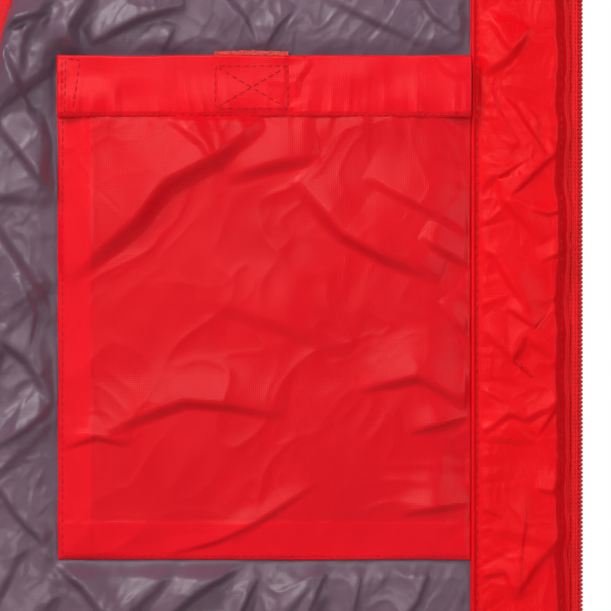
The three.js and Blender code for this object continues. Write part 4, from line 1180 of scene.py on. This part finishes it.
def cross_section(profile, v, depth, q):
    """Points round half the body: q from 0 at the crease to 1 at the side and 2 at the centre back."""
    at = profile.at(v)
    slope = unit(profile.at(min(v + 1e-4, 1)) - profile.at(max(v - 1e-4, 0)))
    crease = crease_at(at[2]) - depth * CLOSED_OUT
    side = np.array([at[0], 0, at[2]]) - depth * unit((slope[2], 0, -slope[0]))
    back = np.array([0, at[1], at[2]]) - depth * unit((0, slope[2], -slope[1]))
    reach = 0.45 * np.linalg.norm(crease - side)
    leave = crease + CLOSED_ACROSS * (1, 1, 0) * reach
    turn = side + (0, 0.55 * back[1], 0)
    flat = back + (0.7 * side[0], 0, 0)
    front = bezier(crease, leave, side + (0, -0.6 * reach, 0), side, np.clip(q, 0, 1))
    rear = bezier(side, turn, flat, back, np.clip(q - 1, 0, 1))
    return np.where((q <= 1)[:, None], front, rear)


def body_grid(profile, q, v, depth):
    """A grid of points on the body, in the row frame; q past 2 goes on round the other side."""
    mirrored = q > 2
    near = np.where(mirrored, 4 - q, q)
    rows = [cross_section(profile, row, depth, near) for row in v]
    grid = np.stack(rows, axis=1)
    grid[mirrored] *= FLIP
    return grid + SHIFT


ARMHOLE_MIDDLE = (ARMHOLE_TOP + ARMHOLE_BOTTOM) / 2
ARMHOLE_HALF = np.linalg.norm(ARMHOLE_TOP - ARMHOLE_BOTTOM) / 2
DOWN_ARMHOLE = unit(ARMHOLE_BOTTOM - ARMHOLE_TOP)
OUT_OF_ARMHOLE = np.array([-DOWN_ARMHOLE[2], 0, DOWN_ARMHOLE[0]])
ARMHOLE_SET = math.sqrt(ARMHOLE_RADIUS ** 2 - ARMHOLE_HALF ** 2)
SHOULDER = ARMHOLE_MIDDLE + OUT_OF_ARMHOLE * ARMHOLE_SET


def armhole_cut(*grids):
    """Which points lie in an armhole, once those near its edge are moved onto the edge."""
    inside = np.zeros(grids[0].shape[:2], bool)
    moved = [g.copy() for g in grids]
    for sign in (1, -1):
        centre = SHOULDER * (sign, 1, 1) + SHIFT
        away = grids[0] - centre
        reach = np.hypot(away[..., 0], away[..., 2])
        cut = reach < ARMHOLE_RADIUS + 1
        inside |= cut
        for grid in moved:
            d = grid - centre
            r = np.maximum(np.hypot(d[..., 0], d[..., 2]), 1)
            k = (ARMHOLE_RADIUS + 1) / r
            pushed = np.stack([centre[0] + d[..., 0] * k, grid[..., 1], centre[2] + d[..., 2] * k], axis=-1)
            grid[cut] = pushed[cut]
    return inside, moved


def body_panel(name, profile, q, v, nodes, lining_nodes, seed, lines=()):
    """A padded panel of the body and the lining behind it."""
    base = body_grid(profile, q, v, 0.0)
    inner = body_grid(profile, q, v, THICKNESS - 1.2)
    normal = unit_rows(base - inner)
    plan = flat_plan(base)[0] / MM
    x, y = plan[..., 0], plan[..., 1]
    edge = np.minimum(np.minimum(x, x[-1:, :] - x), np.minimum(y, y[:, -1:] - y))
    puff = fullness(edge) * (2.6 + drape(x, y, seed, 0.9) + 0.6 * folds(x, y, random_folds(
        16, 0, x.max(), 0, y.max(), seed, 8.0, 2.6, 90, 1.8)))
    for at in lines:
        puff = puff - sewn_line(y - at)
    outer = base + normal * (puff - 1.0)[..., None]
    drop, (outer, inner) = armhole_cut(outer, inner)
    piece = layered(f"{name}_padding", outer, inner, SHELL_CLOTH, bulge=1.0, drop=drop)
    soft(piece, "body", nodes)
    lining = body_grid(profile, q, v, THICKNESS - 0.9)
    slack = 0.8 + 0.8 * noise(x / 30, y / 60, seed + 3) + 0.9 * creased(x / 34, y / 60, seed + 4)
    face = lining - normal * (slack * smooth(edge / 6))[..., None]
    drop, (face, behind) = armhole_cut(face, lining)
    satin = layered(f"{name}_lining_satin", face, behind + normal * 0.25, LINING_SATIN, drop=drop)
    kept = lining if not drop.any() else np.where(drop[..., None], behind, lining)
    soft(satin, "body", lining_nodes, kept)


# Where each panel starts and stops round the body, counted as cross_section and body_grid count it.
SIDE_SPAN = (0.014, 0.999)
BACK_SPAN = (1.001, 2.999)
COLLAR_SPAN = (0.03, 3.97)
HEM_SEAM, YOKE_SEAM, COLLAR_SEAM = 24, 545, 62
LOOP_WIDTH = 5.0


def body():
    v = np.linspace(0, 1, 190)
    for side, flip in (("left", False), ("right", True)):
        q = np.linspace(*SIDE_SPAN, 56)
        q = (4 - q[::-1]) if flip else q
        body_panel(f"{side}_side", BODY_PROFILE, q, v, [f"{side}_side_shell", f"{side}_side_wadding"],
                   [f"{side}_side_lining"], 101 + flip, lines=(HEM_SEAM,))
    body_panel("back", BODY_PROFILE, np.linspace(*BACK_SPAN, 210), v, ["back_shell", "back_wadding"],
               ["back_lining"], 105, lines=(HEM_SEAM, YOKE_SEAM))
    body_panel("back_collar", COLLAR_PROFILE, np.linspace(*COLLAR_SPAN, 200), np.linspace(0, 1, 36),
               ["collar_back"], ["collar_back_lining"], 108, lines=(COLLAR_SEAM,))
    low, high = (np.array(x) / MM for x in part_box("hanger_loop"))
    angle = np.linspace(0, math.pi, 40)
    wide, tall = (high[0] - low[0] - LOOP_WIDTH) / 2, high[2] - low[2] - LOOP_WIDTH / 2
    path = np.stack([wide * np.cos(angle), 0 * angle + (low[1] + high[1]) / 2,
                     low[2] + tall * np.sin(angle)], axis=1)
    loop = tube("hanger_loop_strap", path, LOOP_WIDTH / 2, SHELL_CLOTH, 12, squash=0.3, up=(0, 1, 0))
    firm(loop, "body", "shell", "hanger_loop")


# ---- Where a front folds on the body ----

def crease_strips(front):
    """A red bound strip bridges the linings over the fold, and a corded seam runs down the fold."""
    side, sign = front.side, (1 if front.side == "left" else -1)
    t = np.linspace(front.crease_low[1] + 1, front.crease_high[1] - 1, 150)
    axis = front.at(front.crease(t) + 1.2, t, 0.0)
    out, across = CLOSED_OUT * (sign, 1, 1), CLOSED_ACROSS * (sign, 1, 1)
    start, stop = -front.out, -out
    angle = math.acos(np.clip(start @ stop, -1, 1))
    k = np.linspace(0, 1, 16)
    if angle > 0.05:
        ways = [(math.sin((1 - x) * angle) * start + math.sin(x * angle) * stop) / math.sin(angle) for x in k]
    else:
        ways = [start for _ in k]
    radius = THICKNESS + 1.1
    wave = 0.5 * noise(t / 12, 0 * t, 121)
    rows = [axis - front.across * 5 - front.out * (THICKNESS + 0.8)]
    for x, way in zip(k, ways):
        reach = radius + 1.2 * math.sin(math.pi * x) + wave
        rows.append(axis - front.across * 2 * (1 - x) + across * 2 * x + way * reach[:, None])
    rows.append(axis + across * 5 - out * (THICKNESS + 0.9))
    grid = np.stack(rows)
    strip = thin(f"{side}_crease_binding", grid, 0.8, SHELL_CLOTH)
    soft(strip, None, [], grid,
         bend=(f"{side}_front", "body", metres(rows[1].mean(0)), metres(rows[-2].mean(0))))
    hinge = np.stack([crease_at(z) for z in np.linspace(1, 698, 60)]) * (sign, 1, 1) + SHIFT
    cord = tube(f"{side}_crease_piping", hinge, 1.6, SHELL_CLOTH, 10)
    firm(cord, "body", "shell")


# ---- Sleeves ----

SLEEVE_OUTER = Spline([ARMHOLE_TOP, (290, 0, 631), (350, 0, 589), (390, 0, 532), (408, 0, 462), (415, 0, 300),
                       (424, 0, 70)])
SLEEVE_INNER = Spline([ARMHOLE_BOTTOM, (255, 0, 467), (260, 0, 460), (265, 0, 449), (271, 0, 430), (292, 0, 270),
                       (322, 0, 66)])
SLEEVE_DEPTH = Spline([(62, 0), (72, 0.2), (72, 0.5), (64, 0.8), (47, 1)])
SLEEVE_CENTRE_Y = 10.0
SLEEVE_THICKNESS = 10.5
SLEEVE_LENGTH = 640
SLEEVE_RADIUS = 62


def armhole_rim():
    """Heights along the armhole and the body's y there, in front and behind."""
    grid = body_grid(BODY_PROFILE, np.linspace(0, 2, 500), np.linspace(0.5, 1, 400), 0.0).reshape(-1, 3) - SHIFT
    reach = np.hypot(grid[:, 0] - SHOULDER[0], grid[:, 2] - SHOULDER[2])
    rim = grid[np.abs(reach - ARMHOLE_RADIUS - 1) < 1]
    along = (rim - ARMHOLE_MIDDLE) @ DOWN_ARMHOLE
    curves = []
    for half in (rim[:, 1] < 0, rim[:, 1] >= 0):
        order = np.argsort(along[half])
        curves.append((along[half][order], rim[half, 1][order]))
    return curves


RIM_FRONT, RIM_BACK = armhole_rim()


def sleeve_point(angle, v, depth, sign=1):
    """A point on a sleeve: angle 0 is its outer edge and a quarter turn is its back."""
    angle, v, depth = np.broadcast_arrays(angle, v, depth)
    outer, inner = SLEEVE_OUTER.at(v), SLEEVE_INNER.at(v)
    centre = (outer + inner) / 2
    half = np.linalg.norm(outer - centre, axis=-1)
    ring = centre + unit_rows(outer - centre) * ((half - depth) * np.cos(angle))[..., None]
    along = -(ARMHOLE_HALF - depth) * np.cos(angle)
    sagitta = np.sqrt((ARMHOLE_RADIUS - 1) ** 2 - along ** 2) - ARMHOLE_SET
    hole = ARMHOLE_MIDDLE + along[..., None] * DOWN_ARMHOLE - sagitta[..., None] * OUT_OF_ARMHOLE
    share = np.maximum(0, 1 - v / 0.17)[..., None]
    at = ring * (1 - share) + hole * share
    at[..., 1] = SLEEVE_CENTRE_Y + (SLEEVE_DEPTH.at(v)[..., 0] - depth) * np.sin(angle)
    rim = np.where(np.sin(angle) < 0, np.interp(along, *RIM_FRONT), np.interp(along, *RIM_BACK))
    edge = rim - depth * np.sin(angle)
    joined = np.maximum(0, 1 - v / 0.2) ** 2
    at[..., 1] += joined * (edge - at[..., 1])
    return at * (sign, 1, 1) + SHIFT


def sleeve(side):
    sign = 1 if side == "left" else -1
    name = f"{side}_sleeve"
    turn, v = crossed(np.linspace(0, 2 * math.pi, 120, endpoint=False), np.linspace(0, 1, 230))
    x, y = turn * SLEEVE_RADIUS, v * SLEEVE_LENGTH
    strokes = []
    draw = np.random.default_rng(140 + sign)
    for _ in range(34):
        at, high = draw.uniform(0, 380), draw.choice([230.0, 330.0, 520.0]) + draw.uniform(-70, 70)
        strokes.append((draw.uniform(4, 9), draw.uniform(1.5, 3.6),
                        [(at, high), (at + draw.uniform(15, 35), high + draw.uniform(-12, 12)),
                         (at + draw.uniform(45, 80), high + draw.uniform(-22, 22))]))
    edge = np.minimum(y, SLEEVE_LENGTH - y)
    seam = np.abs(turn - math.pi) * SLEEVE_RADIUS
    round_noise = (2.2 * noise(3 * np.cos(turn), y / 70 + 3 * np.sin(turn), 141)
                   + noise(5 * np.sin(turn), y / 36, 142))
    puff = fullness(edge, 22) * (2.0 + round_noise * 0.8 + 0.8 * folds(x, y, strokes)) - sewn_line(seam, depth=1.6)
    puff = puff + 1.4 * creased(2.2 * np.cos(turn) + 9, y / 55 + np.sin(turn), 143) * fullness(edge, 30) - 0.6
    outer = sleeve_point(turn, v, -puff * 0.8, sign)
    inner = sleeve_point(turn, v, SLEEVE_THICKNESS - 1, sign)
    start = sleeve_point(np.array([0.0, math.pi]), 0.0, 0.0, sign).mean(0)
    stop = sleeve_point(np.array([0.0, math.pi]), 0.3, 0.0, sign).mean(0)
    bend = ("body", name, metres(start), metres(stop))
    piece = layered(f"{name}_padding", outer, inner, SHELL_CLOTH, wrap=True, bulge=1.0)
    soft(piece, None, [f"{name}_shell", f"{name}_wadding"], bend=bend)
    slack = 0.8 + 0.7 * noise(4 * np.cos(turn), y / 40, 144)
    face = sleeve_point(turn, v, SLEEVE_THICKNESS + slack * fullness(edge, 12), sign)
    satin = layered(f"{name}_lining_satin", face, inner + 0.3 * unit_rows(inner - outer), LINING_SATIN, wrap=True)
    plan = np.concatenate([face, face[:1]])
    soft(satin, None, [f"{name}_lining"], plan, bend=bend)

    ring = sleeve_point(np.linspace(0, 2 * math.pi, 90, endpoint=False), 0.0, -0.8, sign)
    seam_cord = tube(f"{name}_armhole_seam", ring, 2.3, SHELL_CLOTH, 10, closed=True)
    firm(seam_cord, "body", "shell")
    cuff(side, sign)


def cuff(side, sign):
    name = f"{side}_sleeve"
    end = sleeve_point(np.array([0.0, math.pi]), 1.0, 0.0, sign).mean(0)
    above = sleeve_point(np.array([0.0, math.pi]), 0.9, 0.0, sign).mean(0)
    down = unit(end - above)
    turn, k = crossed(np.linspace(0, 2 * math.pi, 280, endpoint=False), np.linspace(0, 1, 26))
    rib = 0.45 * np.cos(turn * 70)
    draw_in = 2.2 * np.sin(math.pi * k) + 1.4 * k
    depth = SLEEVE_THICKNESS + 0.9 + draw_in - rib - 0.3
    length = (-14 + 36 * k)[..., None] * down
    knit = layered(f"{side}_cuff_knit", sleeve_point(turn, 1.0, depth, sign) + length,
                   sleeve_point(turn, 1.0, depth + 1.9, sign) + length, RIB_KNIT, wrap=True, bulge=0.5)
    soft(knit, name, [f"{side}_cuff"])
    step = math.radians(10)
    angle, v = crossed(np.linspace(-8, 1, 50) * step, np.linspace(0.912, 0.968, 16))
    pile = 1.6 + 0.1 * noise(angle * 90, v * 700, 151)
    fibres = layered(f"{side}_cuff_tape_loops", sleeve_point(angle, v, -pile, sign),
                     sleeve_point(angle, v, -0.3, sign), HOOK_TAPE)
    soft(fibres, name, [f"{side}_cuff_loop_tape"], sleeve_point(angle, v, -1.5, sign))
    angle, v = crossed(np.linspace(-7, 5, 70) * step, np.linspace(0.91, 0.97, 24))
    edge = np.minimum(np.minimum(angle + 7 * step, 5 * step - angle) * 47,
                      np.minimum(v - 0.91, 0.97 - v) * SLEEVE_LENGTH)
    taper = 1 - 0.35 * smooth((-angle / step - 4) / 3)
    v = 0.94 + (v - 0.94) * taper
    puff = 2.1 + 1.3 * fullness(edge, 4) - sewn_line(edge - 3.2, 0.7, 0.5)
    tab = layered(f"{side}_cuff_tab_strap", sleeve_point(angle, v, -puff, sign),
                  sleeve_point(angle, v, -2.0, sign), SHELL_CLOTH, bulge=0.4)
    soft(tab, f"{side}_cuff_tab", [f"{side}_cuff_tab"])


# ---- Hood ----

HOOD_PIVOT = np.array([0, -20, 706.0])
HOOD_ARCH = Spline([(106, 232, -12), (112, 250, 14), (115, 232, 45), (114, 170, 74), (112, 98, 92)])
HOOD_THICKNESS = 6.0
HOOD_SEAMS = (0.37, 0.63)
HOOD_BEND = (708, 770)


def hood_point(u, v):
    u, v = np.broadcast_arrays(u, v)
    arch = HOOD_ARCH.at(v)
    angle = np.radians(172 + (8 - 172) * u)
    cosine = np.cos(angle)
    x = arch[..., 0] * np.sign(cosine) * np.abs(cosine) ** 0.8
    reach = arch[..., 1] * np.sin(angle) ** 0.72
    lean = np.radians(arch[..., 2])
    return np.stack([x, reach * np.sin(lean), reach * np.cos(lean)], axis=-1) + HOOD_PIVOT + SHIFT


def hood():
    u, v = crossed(np.linspace(0, 1, 170), np.linspace(0, 1, 100))
    base = hood_point(u, v)
    normal = surface_normals(base)
    if (normal * (base - base.reshape(-1, 3).mean(0))).sum() < 0:
        normal = -normal
    plan = flat_plan(base)[0] / MM
    x, y = plan[..., 0], plan[..., 1]
    seams = np.minimum(*(np.abs(u - at) for at in HOOD_SEAMS)) * x.max()
    edge = np.minimum(np.minimum(x, x[-1:, :] - x), np.minimum(y, y[:, -1:] - y))
    puff = fullness(np.minimum(edge, seams), 18) * (2.2 + drape(x, y, 161, 0.8)) - 1.2
    puff = puff + 1.6 * creased(x / 50, y / 44, 163) - sewn_line(y - 22)
    outer = base + normal * (puff * smooth(edge / 5))[..., None]
    inner = base - normal * (HOOD_THICKNESS - 0.4)
    start, stop = (metres(np.array([0, -20, height]) + SHIFT) for height in HOOD_BEND)
    piece = layered("hood_padding", outer, inner, SHELL_CLOTH, bulge=0.8)
    soft(piece, None, ["hood_shell"], bend=("body", "hood", start, stop))
    slack = 1.0 + 0.8 * noise(x / 30, y / 34, 165) + 0.8 * creased(x / 40, y / 40, 166)
    face = base - normal * (HOOD_THICKNESS + slack)[..., None]
    satin = layered("hood_lining_satin", face, inner - normal * 0.2, LINING_SATIN)
    soft(satin, None, ["hood_lining"], face,
         bend=("body", "hood", start, stop))
    k = np.linspace(0, 1, 120)
    rim = hood_point(k, 0.0)
    rim = rim - surface_normals(hood_point(*crossed(k, [0, 0.01])))[:, 0] * 3
    binding = tube("hood_edge_binding", rim, 3.4, SHELL_CLOTH, 12)
    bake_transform(binding)

    u, v = crossed(np.linspace(0, 1, 110), np.linspace(0, 1, 30))
    edge = hood_point(0.8 - 0.6 * u, 0.0)
    peak = np.maximum(np.sin(math.pi * u), 0) ** 0.7
    forward = 0.4 + v * (3.6 + 30 * peak)
    droop = 0.1 * forward
    top = edge + np.stack([0 * u, -0.96 * forward, -droop], axis=-1)
    lift = unit_rows(edge - edge.mean((0, 1)) + (0, 0, 60))
    pad = 0.4 + 0.5 * np.sin(math.pi * v) - sewn_line((v - 0.86) * 34, 1.0, 0.4)
    peak_piece = layered("hood_brim_cloth", top + lift * pad[..., None], top - lift * 2.6, SHELL_CLOTH, bulge=0.6)
    soft(peak_piece, "hood", ["hood_brim"])


def hardware():
    """The zip's own solids keep their shapes, with their edges worn round and painted."""
    finishes = {"left_zip_pin": COIL_NYLON, "right_zip_box": COIL_NYLON, "zip_slider": SLIDER_METAL,
                "zip_pull": SLIDER_METAL}
    for side in ("left", "right"):
        finishes[f"{side}_pocket_slider"] = SLIDER_METAL
        finishes[f"{side}_pocket_pull"] = SLIDER_METAL
    for name, material in finishes.items():
        solid = frame["nodes"][name]
        solid.data.materials.clear()
        solid.data.materials.append(material)
        worn = solid.modifiers.new("worn_edges", "BEVEL")
        worn.width, worn.segments, worn.limit_method = 0.00022, 3, "ANGLE"
        worn.angle_limit = math.radians(40)


for one in FRONTS.values():
    front_padding(one)
    hand_pocket(one)
    collar_front(one)
    crease_strips(one)
body()
sleeve("left")
sleeve("right")
hood()
hardware()
